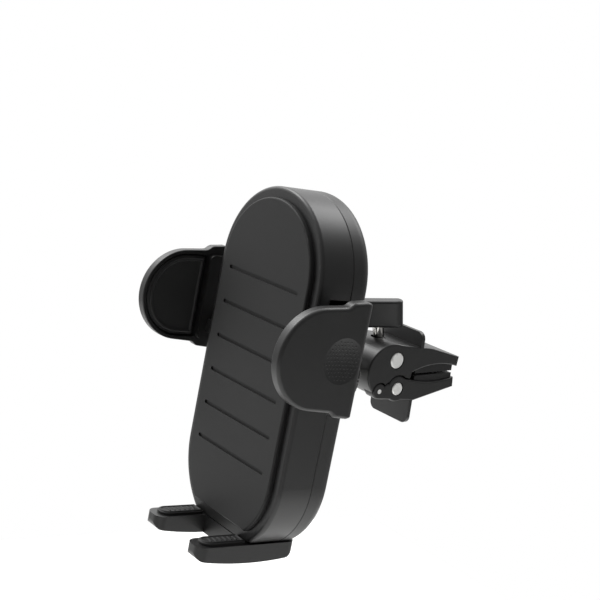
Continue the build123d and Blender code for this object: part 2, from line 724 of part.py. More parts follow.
# Pawl over the right arm's ratchet teeth. A ramp on its back turns the button's push to a lift.
stem_tip_y = bar_back_y + button_travel + stem_tip_gap
ramp_offset = button_z + stem_tip_rise - stem_tip_y
ramp_gap = slide_gap * sqrt(2)
ramp_back_y = bar_back_y + ramp_depth
pawl_front_y = bar_front_y + slide_gap
pawl_back_y = bar_back_y - slide_gap
with BuildPart() as release_pawl:
    with BuildSketch(front_plane(pawl_back_y)):
        with Locations((0, pawl_foot_z + ratchet_depth)):
            Rectangle(pawl_width, pawl_top_z - pawl_foot_z - ratchet_depth, align=(Align.CENTER, Align.MIN))
        for step in range(-1, 2):
            with BuildLine():
                left = step * ratchet_pitch
                right = left + ratchet_pitch
                root = pawl_foot_z + ratchet_depth
                Polyline((left, root + 0.1), (left, pawl_foot_z), (left + 0.2 * ratchet_pitch, pawl_foot_z),
                         (right, root), (right, root + 0.1), close=True)
            make_face()
    extrude(amount=pawl_back_y - pawl_front_y)
    with BuildSketch(side_plane(-button_stem_width / 2)):
        with BuildLine():
            low = pawl_back_y - slide_gap
            ramp_shift = ramp_offset + ramp_gap
            Polyline((low, low + ramp_shift), (ramp_back_y, ramp_back_y + ramp_shift),
                     (ramp_back_y, pawl_top_z - wall), (low, pawl_top_z - wall), close=True)
        make_face()
    extrude(amount=button_stem_width)
    with BuildSketch(Plane.XY.offset(pawl_top_z)):
        with Locations((0, (pawl_front_y + pawl_back_y) / 2)):
            Circle(pawl_spring_radius - pawl_spring_wire - slide_gap / 2)
    extrude(amount=wall)
release_pawl.part.label = "release_pawl"

with BuildPart() as release_button:
    with BuildSketch(front_plane(back_y + button_proud)):
        with Locations((0, button_z)):
            Circle(button_radius)
    extrude(amount=wall + button_proud)
    fillet(release_button.faces().sort_by(Axis.Y)[-1].edges(), radius=button_proud / 2)
    with BuildSketch(front_plane(inner_back_y - slide_gap)):
        with Locations((0, button_z)):
            Circle(button_radius + wall / 2)
    extrude(amount=button_flange)
    with BuildSketch(front_plane(inner_back_y)):
        with Locations((0, button_z)):
            Circle(button_radius)
    extrude(amount=slide_gap)
    stem_root_y = inner_back_y - slide_gap - button_flange
    with BuildSketch(side_plane(-button_stem_width / 2)):
        with BuildLine():
            Polyline((stem_tip_y, button_z - button_stem_drop), (stem_root_y, button_z - button_stem_drop),
                     (stem_root_y, ramp_back_y + ramp_offset), (ramp_back_y, ramp_back_y + ramp_offset),
                     (stem_tip_y, stem_tip_y + ramp_offset), close=True)
        make_face()
    extrude(amount=button_stem_width)
release_button.part.label = "release_button"

# Pawl spring: a helix that stands between the pawl and its seat
spring_foot = (0, (pawl_front_y + pawl_back_y) / 2, pawl_top_z + pawl_spring_wire / 2)
helix_height = pawl_spring_length - pawl_spring_wire
with BuildPart() as pawl_spring:
    with BuildLine() as coil_path:
        Helix(pitch=helix_height / pawl_spring_turns, height=helix_height,
              radius=pawl_spring_radius - pawl_spring_wire / 2, center=spring_foot)
    with BuildSketch(Plane(origin=coil_path.line @ 0, z_dir=coil_path.line % 0)):
        Circle(pawl_spring_wire / 2 - 0.005)
    sweep(is_frenet=True)
pawl_spring.part.label = "pawl_spring"

# Foot carrier: two feet joined by a bar under the frame, and a stem that slides in it
foot_outer = foot_spacing / 2 + foot_width / 2
carrier_back_y = back_y - foot_rear_inset
with BuildPart() as foot_carrier:
    with BuildSketch(Plane.XY.offset(foot_bottom_z)):
        with Locations((0, rest_face_y)):
            Rectangle(2 * foot_outer, carrier_back_y - rest_face_y, align=(Align.CENTER, Align.MIN))
        for side in (-1, 1):
            with Locations((side * foot_spacing / 2, (carrier_back_y - foot_reach) / 2)):
                Rectangle(foot_width, carrier_back_y + foot_reach)
    extrude(amount=foot_thickness)
    fillet(foot_carrier.edges().filter_by(Axis.Z).group_by(Axis.Y)[0], radius=foot_corner_radius)
    fillet(foot_carrier.edges().filter_by(Axis.Z).group_by(Axis.Y)[-1], radius=foot_corner_radius)
    # Bowed underside that rises to the tips and rolls up at the rear
    with BuildSketch(side_plane(-foot_outer)) as bowed_side:
        with BuildLine():
            Polyline((-foot_reach, foot_bottom_z + foot_tip_rise), (-foot_reach, foot_top_z),
                     (carrier_back_y, foot_top_z), (carrier_back_y, foot_bottom_z + foot_rear_rise))
            ThreePointArc((carrier_back_y, foot_bottom_z + foot_rear_rise), (foot_deepest_y, foot_bottom_z),
                          (-foot_reach, foot_bottom_z + foot_tip_rise))
        make_face()
        fillet(bowed_side.vertices().group_by(Axis.Y)[0].sort_by(Axis.X)[-1], radius=foot_rear_radius)
        fillet(bowed_side.vertices().sort_by(Axis.X)[:2].sort_by(Axis.Y)[0], radius=foot_tip_radius)
    extrude(amount=2 * foot_outer, mode=Mode.INTERSECT)
    with BuildSketch(front_plane(stem_front_y + stem_thickness)):
        with Locations((0, foot_top_z - wall)):
            Rectangle(stem_width, stem_length + wall, align=(Align.CENTER, Align.MIN))
    extrude(amount=stem_thickness)
    with BuildSketch(front_plane(stem_front_y + stem_thickness)):
        for side in (-1, 1):
            for step in range(stem_notch_count):
                with Locations((side * stem_width / 2, foot_top_z + 8 + step * stem_notch_pitch)):
                    Circle(stem_notch_radius)
    extrude(amount=stem_thickness, mode=Mode.SUBTRACT)
foot_carrier.part.label = "foot_carrier"


def foot_pad(side):
    """Rubber strip on one foot."""
    with BuildPart() as pad:
        with BuildSketch(Plane.XY.offset(foot_top_z)):
            with Locations((side * foot_spacing / 2, foot_pad_inset_front - foot_reach)):
                Rectangle(foot_width - 2 * foot_pad_inset_side,
                          foot_reach - foot_pad_inset_front + rest_face_y - slide_gap,
                          align=(Align.CENTER, Align.MIN))
        extrude(amount=foot_pad_proud)
        fillet(pad.edges().filter_by(Axis.Z).group_by(Axis.Y)[0],
               radius=foot_corner_radius - foot_pad_inset_side)
        fillet(pad.faces().sort_by(Axis.Z)[-1].edges().group_by(Axis.Y)[0], radius=foot_pad_proud / 4)
    return pad


right_foot_pad = foot_pad(1)
right_foot_pad.part.label = "right_foot_pad"
left_foot_pad = foot_pad(-1)
left_foot_pad.part.label = "left_foot_pad"

# Ball socket, turned about the swivel axis, with slits that let its mouth close on the ball
mouth_radius = sqrt(socket_inner ** 2 - socket_mouth ** 2)
with BuildPart() as ball_socket:
    with BuildSketch(turning):
        with BuildLine():
            Polyline((-socket_inner, 0), (socket_front, 0), (socket_front, socket_stub_radius),
                     (socket_step, socket_stub_radius), (socket_step, socket_outer),
                     (socket_mouth, socket_outer), (socket_mouth, mouth_radius))
            ThreePointArc((socket_mouth, mouth_radius), (0, socket_inner), (-socket_inner, 0))
        make_face()
    revolve(axis=swivel_axis)
    with BuildSketch(front_plane(ball_y + socket_front + socket_screw_length)):
        Circle(socket_screw_radius + bore_gap)
    extrude(amount=socket_screw_length, mode=Mode.SUBTRACT)
    with BuildSketch(front_plane(ball_y + socket_mouth)):
        with PolarLocations(socket_outer, socket_slit_count, start_angle=45):
            Rectangle(2 * socket_outer - 2 * socket_stub_radius, socket_slit_width)
    extrude(amount=socket_slit_depth, mode=Mode.SUBTRACT)
ball_socket.part.label = "ball_socket"

with BuildPart() as socket_washer:
    with BuildSketch(front_plane(washer_back_y)):
        Circle(washer_radius)
        Circle(socket_screw_radius + bore_gap, mode=Mode.SUBTRACT)
    extrude(amount=washer_thickness)
socket_washer.part.label = "socket_washer"

with BuildPart() as socket_screw:
    with BuildSketch(front_plane(washer_front_y)):
        Circle(socket_screw_head_radius)
    extrude(amount=socket_screw_head_height)
    with BuildSketch(front_plane(ball_y + socket_front + socket_screw_length - bore_gap)):
        Circle(socket_screw_radius)
    extrude(amount=ball_y + socket_front + socket_screw_length - bore_gap - washer_front_y)
socket_screw.part.label = "socket_screw"

# Liner between ball and socket
with BuildPart() as ball_liner:
    mouth = radians(liner_mouth_angle)
    middle = (mouth + pi) / 2
    with BuildSketch(turning):
        with BuildLine():
            ThreePointArc((liner_outer * cos(mouth), liner_outer * sin(mouth)),
                          (liner_outer * cos(middle), liner_outer * sin(middle)), (-liner_outer, 0))
            Line((-liner_outer, 0), (-liner_inner, 0))
            ThreePointArc((-liner_inner, 0), (liner_inner * cos(middle), liner_inner * sin(middle)),
                          (liner_inner * cos(mouth), liner_inner * sin(mouth)))
            Line((liner_inner * cos(mouth), liner_inner * sin(mouth)),
                 (liner_outer * cos(mouth), liner_outer * sin(mouth)))
        make_face()
    revolve(axis=swivel_axis)
ball_liner.part.label = "ball_liner"

# Ring nut with a fluted grip
with BuildPart() as ring_nut:
    with BuildSketch(turning):
        with BuildLine():
            Polyline((ring_front, ring_inner), (ring_front, ring_outer), (ring_back, ring_outer),
                     (ring_back, ring_lip_radius), (ring_back - ring_lip, ring_lip_radius),
                     (ring_back - ring_lip, ring_inner), close=True)
        make_face()
    revolve(axis=swivel_axis)
    chamfer(ring_nut.edges().filter_by(GeomType.CIRCLE).group_by(SortBy.RADIUS)[-1], length=0.5)
    with BuildSketch(front_plane(ball_y + ring_back)):
        with PolarLocations(ring_outer + 0.2, ring_flute_count):
            Circle(ring_flute_radius)
    extrude(amount=ring_back - ring_front, mode=Mode.SUBTRACT)
ring_nut.part.label = "ring_nut"

# Ball stud, turned in steel and pressed in the clip
neck_start = sqrt(ball_radius ** 2 - neck_radius ** 2)
with BuildPart() as ball_stud:
    with BuildSketch(clip_turning):
        with BuildLine():
            ThreePointArc((-ball_radius, 0), (0, ball_radius), (neck_start, neck_radius))
            Polyline((neck_start, neck_radius), (stud_end, neck_radius), (stud_end, 0), (-ball_radius, 0))
        make_face()
    revolve(axis=clip_axis)
ball_stud.part.label = "ball_stud"

# Side outlines of the two jaws, in the clip's axes
with BuildSketch() as upper_outline:
    with Locations(barrel_centre):
        Circle(barrel_radius)
    with BuildLine():
        crown = (barrel_centre[0] + barrel_flat[0], barrel_centre[1] + barrel_radius + barrel_flat[1])
        Polyline(crown, upper_shoulder, upper_knee, upper_tip, upper_tip_inside)
        ThreePointArc(upper_tip_inside, upper_mouth_middle, upper_mouth_back)
        Polyline(upper_mouth_back, upper_throat, upper_throat_end, barrel_centre, crown)
    make_face()

with BuildSketch() as lower_outline:
    with Locations(hinge_centre):
        Circle(tail_boss_radius)
    with Locations(lower_dowel_centre):
        Circle(lower_boss_radius)
    with BuildLine():
        Polyline(hinge_centre, (hinge_centre[0], hinge_centre[1] - tail_boss_radius),
                 (lower_plate_front, lower_belly_rear_z),
                 (lower_plate_front + plate_thickness, lower_belly_front_z), lower_tip, lower_tip_inside)
        ThreePointArc(lower_tip_inside, lower_mouth_middle, lower_mouth_back)
        Polyline(lower_mouth_back, lower_throat, lower_dowel_centre, ear_top, hinge_centre)
    make_face()

screw_slot_swing = 0.5
ring_top = -(upper_dowel_radius + 2 * bore_gap)


def cross_plane(along):
    """Plane across the clip at a distance along it: X to the right, the clip's up upwards."""
    return Plane(origin=clip_point((along, 0)), x_dir=(1, 0, 0), z_dir=-clip_along)


# Clip body: barrel, upper jaw and upper stop plate in one moulding
with BuildPart() as clip_body:
    with BuildSketch(clip_side):
        add(upper_outline.sketch)
    extrude(amount=clip_half, both=True)
    side_faces = clip_body.faces().sort_by(Axis.X)[0], clip_body.faces().sort_by(Axis.X)[-1]
    fillet(side_faces[0].outer_wire().edges() + side_faces[1].outer_wire().edges(), radius=side_edge_radius)
    # Room for the lower jaw
    with BuildSketch(clip_side):
        offset(lower_outline.sketch, amount=jaw_gap)
    extrude(amount=clip_half, both=True, mode=Mode.SUBTRACT)
    # Lug between the lower jaw's ears
    with BuildSketch(clip_side):
        with Locations(hinge_centre):
            Circle(lug_radius)
        with Locations(barrel_centre):
            Circle(barrel_radius, mode=Mode.INTERSECT)
    extrude(amount=lug_width / 2, both=True)
    # Upper stop plate
    with BuildSketch(cross_plane(upper_plate_front)) as upper_plate:
        with Locations((0, upper_plate_top)):
            Rectangle(clip_width, upper_plate_top - mouth_middle_z - 4, align=(Align.CENTER, Align.MAX))
        fillet(upper_plate.vertices().group_by(Axis.Y)[-1], radius=plate_corner_radius)
    extrude(amount=-plate_thickness)
    # Bores for the upper dowel, the hinge pin and the ball stud
    with BuildSketch(clip_side):
        with Locations(upper_dowel_centre):
            Circle(upper_dowel_radius + bore_gap)
        with Locations(hinge_centre):
            Circle(hinge_pin_radius + press_gap)
    extrude(amount=clip_half, both=True, mode=Mode.SUBTRACT)
    # Shallow ring round each end of the upper dowel
    for side in (-1, 1):
        with BuildSketch(clip_side.offset(side * clip_half)):
            with Locations(upper_dowel_centre):
                Circle(upper_dowel_radius + bore_relief)
        extrude(amount=-side * bore_relief, mode=Mode.SUBTRACT)
    with BuildSketch(cross_plane(stud_end)):
        Circle(neck_radius + press_gap)
    extrude(amount=stud_end, mode=Mode.SUBTRACT)
    # Slots for the screw above and below the dowel
    with BuildSketch(screw_plane):
        SlotOverall(2 * (post_radius + slide_gap + screw_slot_swing),
                    2 * (post_radius + slide_gap), rotation=90)
    extrude(amount=knob_bottom, mode=Mode.SUBTRACT)
    with BuildSketch(screw_plane):
        SlotOverall(2 * (retaining_ring_radius + slide_gap + screw_slot_swing),
                    2 * (retaining_ring_radius + slide_gap), rotation=90)
    extrude(amount=-dowel_distance, mode=Mode.SUBTRACT)
clip_body.part.label = "clip_body"

# Lower jaw with two ears on the hinge pin and the lower stop plate
screw_side_slot = clamp_shank_radius + slide_gap
dowel_to_edge = lower_boss_radius + 2 * jaw_gap
screw_swing_reach = dowel_to_edge * tan(radians(24.0))
with BuildPart() as lower_jaw:
    with BuildSketch(clip_side):
        add(lower_outline.sketch)
    extrude(amount=clip_half, both=True)
    side_faces = lower_jaw.faces().sort_by(Axis.X)[0], lower_jaw.faces().sort_by(Axis.X)[-1]
    fillet(side_faces[0].outer_wire().edges() + side_faces[1].outer_wire().edges(), radius=side_edge_radius)
    with BuildSketch(clip_side):
        with Locations((ear_front, 0)):
            Rectangle(ear_front, 2 * ear_front, align=(Align.MAX, Align.CENTER))
    extrude(amount=lug_width / 2 + slide_gap, both=True, mode=Mode.SUBTRACT)
    with BuildSketch(cross_plane(lower_plate_front)) as lower_plate:
        with BuildLine():
            plate_low = lower_plate_bottom
            plate_high = lower_tip[1]
            Polyline((-clip_half, plate_high), (lower_plate_taper - clip_half, plate_low),
                     (clip_half - lower_plate_taper, plate_low), (clip_half, plate_high), close=True)
        make_face()
        fillet(lower_plate.vertices().group_by(Axis.Y)[0], radius=plate_corner_radius)
    extrude(amount=-plate_thickness)
    with BuildSketch(clip_side):
        with Locations(hinge_centre):
            Circle(hinge_pin_radius + bore_gap)
        with Locations(lower_dowel_centre):
            Circle(lower_dowel_radius + bore_gap)
    extrude(amount=clip_half, both=True, mode=Mode.SUBTRACT)
    # Shallow ring round each end of the lower dowel
    for side in (-1, 1):
        with BuildSketch(clip_side.offset(side * clip_half)):
            with Locations(lower_dowel_centre):
                Circle(lower_dowel_radius + bore_relief)
        extrude(amount=-side * bore_relief, mode=Mode.SUBTRACT)
    # Slot that widens away from the dowel, so that the screw can lean as the jaw opens
    with BuildSketch(Plane(origin=clip_point(lower_dowel_centre), x_dir=screw_plane.y_dir, z_dir=(1, 0, 0))):
        with BuildLine():
            Polyline((screw_side_slot, 0), (screw_side_slot, dowel_to_edge),
                     (-screw_side_slot - screw_swing_reach, dowel_to_edge), (-screw_side_slot, 0),
                     (-screw_side_slot, -dowel_to_edge),
                     (screw_side_slot + screw_swing_reach, -dowel_to_edge),
                     close=True)
        make_face()
    extrude(amount=screw_side_slot, both=True, mode=Mode.SUBTRACT)
lower_jaw.part.label = "lower_jaw"

with BuildPart() as hinge_pin:
    with BuildSketch(clip_side):
        with Locations(hinge_centre):
            Circle(hinge_pin_radius)
    extrude(amount=clip_half, both=True)
hinge_pin.part.label = "hinge_pin"

# Upper dowel: a swivel bush that the screw turns in
dowel_half = clip_half + dowel_proud
with BuildPart() as swivel_bush:
    with BuildSketch(clip_side):
        with Locations(upper_dowel_centre):
            Circle(upper_dowel_radius)
    extrude(amount=dowel_half, both=True)
    chamfer(swivel_bush.edges().filter_by(GeomType.CIRCLE), length=0.25)
    with BuildSketch(screw_plane):
        Circle(clamp_shank_radius + bore_gap)
    extrude(amount=upper_dowel_radius, both=True, mode=Mode.SUBTRACT)
    with BuildSketch(screw_plane.offset(post_seat)):
        Circle(post_radius + 2 * bore_gap)
    extrude(amount=upper_dowel_radius, mode=Mode.SUBTRACT)
swivel_bush.part.label = "swivel_bush"

# Lower dowel: the nut of the clamping screw
with BuildPart() as nut_dowel:
    with BuildSketch(clip_side):
        with Locations(lower_dowel_centre):
            Circle(lower_dowel_radius)
    extrude(amount=dowel_half, both=True)
    chamfer(nut_dowel.edges().filter_by(GeomType.CIRCLE), length=0.25)
    with BuildSketch(screw_plane.offset(-dowel_distance)):
        Circle(clamp_shank_radius + clamp_thread_gap)
    extrude(amount=lower_dowel_radius, both=True, mode=Mode.SUBTRACT)
nut_dowel.part.label = "nut_dowel"

# Clamping screw: shank below, thicker post above
with BuildPart() as clamp_screw:
    with BuildSketch(screw_plane.offset(post_seat + press_gap)):
        Circle(post_radius)
    extrude(amount=knob_bottom + knob_height / 2 - post_seat - press_gap)
    with BuildSketch(screw_plane.offset(-dowel_distance - shank_past_nut)):
        Circle(clamp_shank_radius)
    extrude(amount=dowel_distance + shank_past_nut + post_seat + press_gap)
    chamfer(clamp_screw.edges().filter_by(GeomType.CIRCLE).sort_by(Axis(screw_plane.origin, screw_up))[0],
            length=0.3)
clamp_screw.part.label = "clamp_screw"

with BuildPart() as retaining_ring:
    with BuildSketch(screw_plane.offset(ring_top - retaining_ring_thickness)):
        Circle(retaining_ring_radius)
        Circle(clamp_shank_radius + press_gap, mode=Mode.SUBTRACT)
    extrude(amount=retaining_ring_thickness)
retaining_ring.part.label = "retaining_ring"

# Thumb knob: a flat bar with round ends
with BuildPart() as thumb_knob:
    with BuildSketch(screw_plane.offset(knob_bottom)):
        SlotOverall(knob_length, knob_thickness, rotation=knob_turn)
    extrude(amount=knob_height)
    top_edges = thumb_knob.faces().sort_by(Axis(screw_plane.origin, screw_up))[-1].edges()
    low_edges = thumb_knob.faces().sort_by(Axis(screw_plane.origin, screw_up))[0].edges()
    fillet(top_edges + low_edges, radius=knob_edge_radius)
    with BuildSketch(screw_plane.offset(knob_bottom)):
        Circle(post_radius + press_gap)
    extrude(amount=knob_height / 2, mode=Mode.SUBTRACT)
thumb_knob.part.label = "thumb_knob"

# Rubber liners in the mouth, with cross ribs
pad_half = clip_half - jaw_pad_side_inset
rib_places = [jaw_pad_start + jaw_rib_pitch * (step + 0.5) for step in range(jaw_rib_count)]
with BuildPart() as upper_jaw_pad:
    with BuildSketch(clip_side):
        with Locations((jaw_pad_start, mouth_middle_z + liner_slit / 2)):
            Rectangle(jaw_pad_end - jaw_pad_start, 4, align=(Align.MIN, Align.MIN))
        add(upper_outline.sketch, mode=Mode.SUBTRACT)
    extrude(amount=pad_half, both=True)
    with BuildSketch(clip_side):
        for place in rib_places:
            with Locations((place, mouth_middle_z + liner_slit / 2)):
                Rectangle(jaw_rib_pitch / 2, 2 * jaw_rib_depth)
    extrude(amount=pad_half - jaw_rib_side_inset, both=True, mode=Mode.SUBTRACT)
upper_jaw_pad.part.label = "upper_jaw_pad"

with BuildPart() as lower_jaw_pad:
    with BuildSketch(clip_side):
        with Locations((jaw_pad_start, mouth_middle_z - liner_slit / 2)):
            Rectangle(jaw_pad_end - jaw_pad_start, 4, align=(Align.MIN, Align.MAX))
        add(lower_outline.sketch, mode=Mode.SUBTRACT)
    extrude(amount=pad_half, both=True)
    with BuildSketch(clip_side):
        for place in rib_places:
            with Locations((place, mouth_middle_z - liner_slit / 2)):
                Rectangle(jaw_rib_pitch / 2, 2 * jaw_rib_depth)
    extrude(amount=pad_half - jaw_rib_side_inset, both=True, mode=Mode.SUBTRACT)
lower_jaw_pad.part.label = "lower_jaw_pad"

# One file for each piece
os.makedirs("parts", exist_ok=True)
export_step(front_frame.part, "parts/front_frame.step")
export_step(rear_cover.part, "parts/rear_cover.step")
export_step(rest_pad.part, "parts/rest_pad.step")
export_step(cover_screws.part, "parts/cover_screws.step")
export_step(keeper_plate.part, "parts/keeper_plate.step")
export_step(keeper_screws.part, "parts/keeper_screws.step")
export_step(gear_axle.part, "parts/gear_axle.step")
export_step(sync_gear.part, "parts/sync_gear.step")
export_step(return_spring.part, "parts/return_spring.step")
export_step(right_arm.part, "parts/right_arm.step")
export_step(right_arm_pad.part, "parts/right_arm_pad.step")
export_step(left_arm.part, "parts/left_arm.step")
export_step(left_arm_pad.part, "parts/left_arm_pad.step")
export_step(release_pawl.part, "parts/release_pawl.step")
export_step(pawl_spring.part, "parts/pawl_spring.step")
export_step(release_button.part, "parts/release_button.step")
export_step(foot_carrier.part, "parts/foot_carrier.step")
export_step(right_foot_pad.part, "parts/right_foot_pad.step")
export_step(left_foot_pad.part, "parts/left_foot_pad.step")
export_step(ball_socket.part, "parts/ball_socket.step")
export_step(socket_washer.part, "parts/socket_washer.step")
export_step(socket_screw.part, "parts/socket_screw.step")
export_step(ball_liner.part, "parts/ball_liner.step")
export_step(ring_nut.part, "parts/ring_nut.step")
export_step(ball_stud.part, "parts/ball_stud.step")
export_step(clip_body.part, "parts/clip_body.step")
export_step(lower_jaw.part, "parts/lower_jaw.step")
export_step(hinge_pin.part, "parts/hinge_pin.step")
export_step(swivel_bush.part, "parts/swivel_bush.step")
export_step(nut_dowel.part, "parts/nut_dowel.step")
export_step(clamp_screw.part, "parts/clamp_screw.step")
export_step(retaining_ring.part, "parts/retaining_ring.step")
export_step(thumb_knob.part, "parts/thumb_knob.step")
export_step(upper_jaw_pad.part, "parts/upper_jaw_pad.step")
export_step(lower_jaw_pad.part, "parts/lower_jaw_pad.step")
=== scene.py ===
import enum
import logging
import math
from collections.abc import Callable
from dataclasses import dataclass, field

import bmesh
import bpy
from mathutils import Matrix, Vector


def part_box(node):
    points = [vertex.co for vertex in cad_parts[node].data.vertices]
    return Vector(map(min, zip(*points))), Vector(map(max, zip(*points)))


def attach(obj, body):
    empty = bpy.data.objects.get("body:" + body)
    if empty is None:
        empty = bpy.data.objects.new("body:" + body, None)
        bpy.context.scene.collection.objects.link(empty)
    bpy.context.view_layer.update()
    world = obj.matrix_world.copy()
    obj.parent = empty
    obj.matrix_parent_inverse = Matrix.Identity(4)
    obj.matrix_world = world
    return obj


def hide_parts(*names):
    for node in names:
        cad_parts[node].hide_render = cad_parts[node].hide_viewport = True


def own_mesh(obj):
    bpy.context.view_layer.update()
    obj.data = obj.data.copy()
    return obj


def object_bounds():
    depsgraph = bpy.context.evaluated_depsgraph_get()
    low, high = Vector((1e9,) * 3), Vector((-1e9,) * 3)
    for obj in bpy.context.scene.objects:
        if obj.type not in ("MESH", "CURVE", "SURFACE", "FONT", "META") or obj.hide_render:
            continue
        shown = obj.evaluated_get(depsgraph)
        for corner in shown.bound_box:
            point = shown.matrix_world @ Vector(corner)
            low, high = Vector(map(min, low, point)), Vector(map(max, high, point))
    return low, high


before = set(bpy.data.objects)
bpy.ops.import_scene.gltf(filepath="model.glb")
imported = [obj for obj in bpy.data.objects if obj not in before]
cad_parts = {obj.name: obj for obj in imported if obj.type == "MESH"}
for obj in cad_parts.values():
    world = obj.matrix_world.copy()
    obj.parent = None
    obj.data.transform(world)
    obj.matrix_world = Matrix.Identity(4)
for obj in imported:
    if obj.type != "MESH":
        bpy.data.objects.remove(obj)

LOG = logging.getLogger("vent_holder")
CAD_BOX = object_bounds()
MM = 0.001
SHARP_EDGE_DEG = 50.0
SMALLEST_CORNER_MM = 0.12

Pair = tuple[float, float]
Ring = list[Vector]


def linear_colour(hex_value: str) -> tuple[float, float, float, float]:
    """Turn an sRGB hex colour into the linear colour that a shader takes.

    Args:
        hex_value: Six hex digits, such as "2a2a2a".

    Returns:
        Red, green, blue and alpha.
    """
    channels = [int(hex_value[place:place + 2], 16) / 255 for place in (0, 2, 4)]
    linear = [c / 12.92 if c <= 0.04045 else ((c + 0.055) / 1.055) ** 2.4 for c in channels]
    return (linear[0], linear[1], linear[2], 1.0)


def brighter(colour: tuple[float, float, float, float], factor: float) -> tuple[float, ...]:
    """Multiply a linear colour by a factor, with white as its limit."""
    return tuple(min(1.0, c * factor) for c in colour[:3]) + (1.0,)


def add_node(tree: bpy.types.NodeTree, kind: str, inputs: dict[str | int, object] | None = None,
             **settings: object) -> bpy.types.Node:
    """Add one shader node.

    Args:
        tree: Node tree that gets the node.
        kind: Blender's name of the node's type.
        inputs: Value or output socket for each named or numbered input.
        **settings: Attributes of the node itself.

    Returns:
        The new node.
    """
    made = tree.nodes.new(kind)
    for name, value in settings.items():
        setattr(made, name, value)
    for name, value in (inputs or {}).items():
        socket = made.inputs[name]
        if isinstance(value, bpy.types.NodeSocket):
            tree.links.new(value, socket)
        else:
            socket.default_value = value
    return made


def start_material(name: str) -> tuple[bpy.types.Material, bpy.types.NodeTree, bpy.types.Node]:
    """Make a material with nodes.

    Args:
        name: Name of the material.

    Returns:
        The material, its node tree and its shader.
    """
    material = bpy.data.materials.new(name)
    material.use_nodes = True
    return material, material.node_tree, material.node_tree.nodes["Principled BSDF"]


def add_object(name: str, data: bpy.types.ID) -> bpy.types.Object:
    """Put a mesh, a camera or a light into the scene.

    Args:
        name: Name of the object.
        data: What the object shows.

    Returns:
        The object.
    """
    made = bpy.data.objects.new(name, data)
    bpy.context.scene.collection.objects.link(made)
    return made


def add_mesh(name: str, body: bmesh.types.BMesh) -> bpy.types.Object:
    """Turn an edited mesh into a smooth shaded object, with its faces outward.

    Args:
        name: Name of the object.
        body: The edited mesh, which is freed.

    Returns:
        The object.
    """
    bmesh.ops.recalc_face_normals(body, faces=body.faces)
    mesh = bpy.data.meshes.new(name)
    body.to_mesh(mesh)
    body.free()
    mesh.shade_smooth()
    return add_object(name, mesh)


def skin(name: str, rings: list[Ring], shells: int = 1) -> bpy.types.Object:
    """Stretch quads over rings of equal length and close both ends.

    Args:
        name: Name of the new object.
        rings: Closed rings from one end to the other, in metres, shell after shell.
        shells: Number of separate shells that the rings make up.

    Returns:
        A smooth shaded object in the scene.
    """
    body = bmesh.new()
    per_shell = len(rings) // shells
    for shell in range(shells):
        rows = [[body.verts.new(point) for point in ring]
                for ring in rings[shell * per_shell:(shell + 1) * per_shell]]
        for low, high in zip(rows, rows[1:]):
            for place in range(len(low)):
                onward = (place + 1) % len(low)
                body.faces.new((low[place], low[onward], high[onward], high[place]))
        body.faces.new(list(reversed(rows[0])))
        body.faces.new(rows[-1])
    made = add_mesh(name, body)
    made.data.set_sharp_from_angle(angle=math.radians(SHARP_EDGE_DEG))
    return made


def full_turn(count: int) -> list[Pair]:
    """Give the cosine and the sine of each equal step of a full turn."""
    turns = [2 * math.pi * step / count for step in range(count)]
    return [(math.cos(turn), math.sin(turn)) for turn in turns]


def straight_between(start: Pair, end: Pair, steps: int) -> list[Pair]:
    """Give the points that divide a straight run into steps, without its two ends."""
    return [(start[0] + (end[0] - start[0]) * step / steps,
             start[1] + (end[1] - start[1]) * step / steps) for step in range(1, steps)]


def rounded_outline(low: Pair, high: Pair, radii: Pair, inset: float = 0.0, corner_steps: int = 10,
                    side_steps: int = 6) -> list[Pair]:
    """Trace a rectangle whose corners have one radius at its low end and another at its high end.

    Args:
        low: Smallest along and across, in millimetres.
        high: Largest along and across, in millimetres.
        radii: Corner radius at the low end and at the high end, in millimetres.
        inset: Distance by which the outline is drawn in, in millimetres.
        corner_steps: Steps round each corner.
        side_steps: Steps along each straight side.

    Returns:
        Points (along, across) in order, with as many points for any inset.
    """
    along = (low[0] + inset, high[0] - inset)
    across = (low[1] + inset, high[1] - inset)
    near = max(radii[0] - inset, SMALLEST_CORNER_MM)
    far = max(radii[1] - inset, SMALLEST_CORNER_MM)
    corners = [((along[0] + near, across[1] - near), near, 90.0),
               ((along[0] + near, across[0] + near), near, 180.0),
               ((along[1] - far, across[0] + far), far, 270.0),
               ((along[1] - far, across[1] - far), far, 0.0)]
    points: list[Pair] = []
    for (centre_along, centre_across), radius, start in corners:
        arc = []
        for step in range(corner_steps + 1):
            turn = math.radians(start + 90.0 * step / corner_steps)
            arc.append((centre_along + radius * math.cos(turn), centre_across + radius * math.sin(turn)))
        if points:
            points += straight_between(points[-1], arc[0], side_steps)
        points += arc
    return points + straight_between(points[-1], points[0], side_steps)


class Lay(enum.Enum):
    """Way in which a metal surface was worked."""

    DRAWN = "fine lines along the bar"
    TUMBLED = "even satin from a tumbling drum"


class Side(enum.Enum):
    """Side of the cradle, as the sign of its X."""

    RIGHT = 1
    LEFT = -1


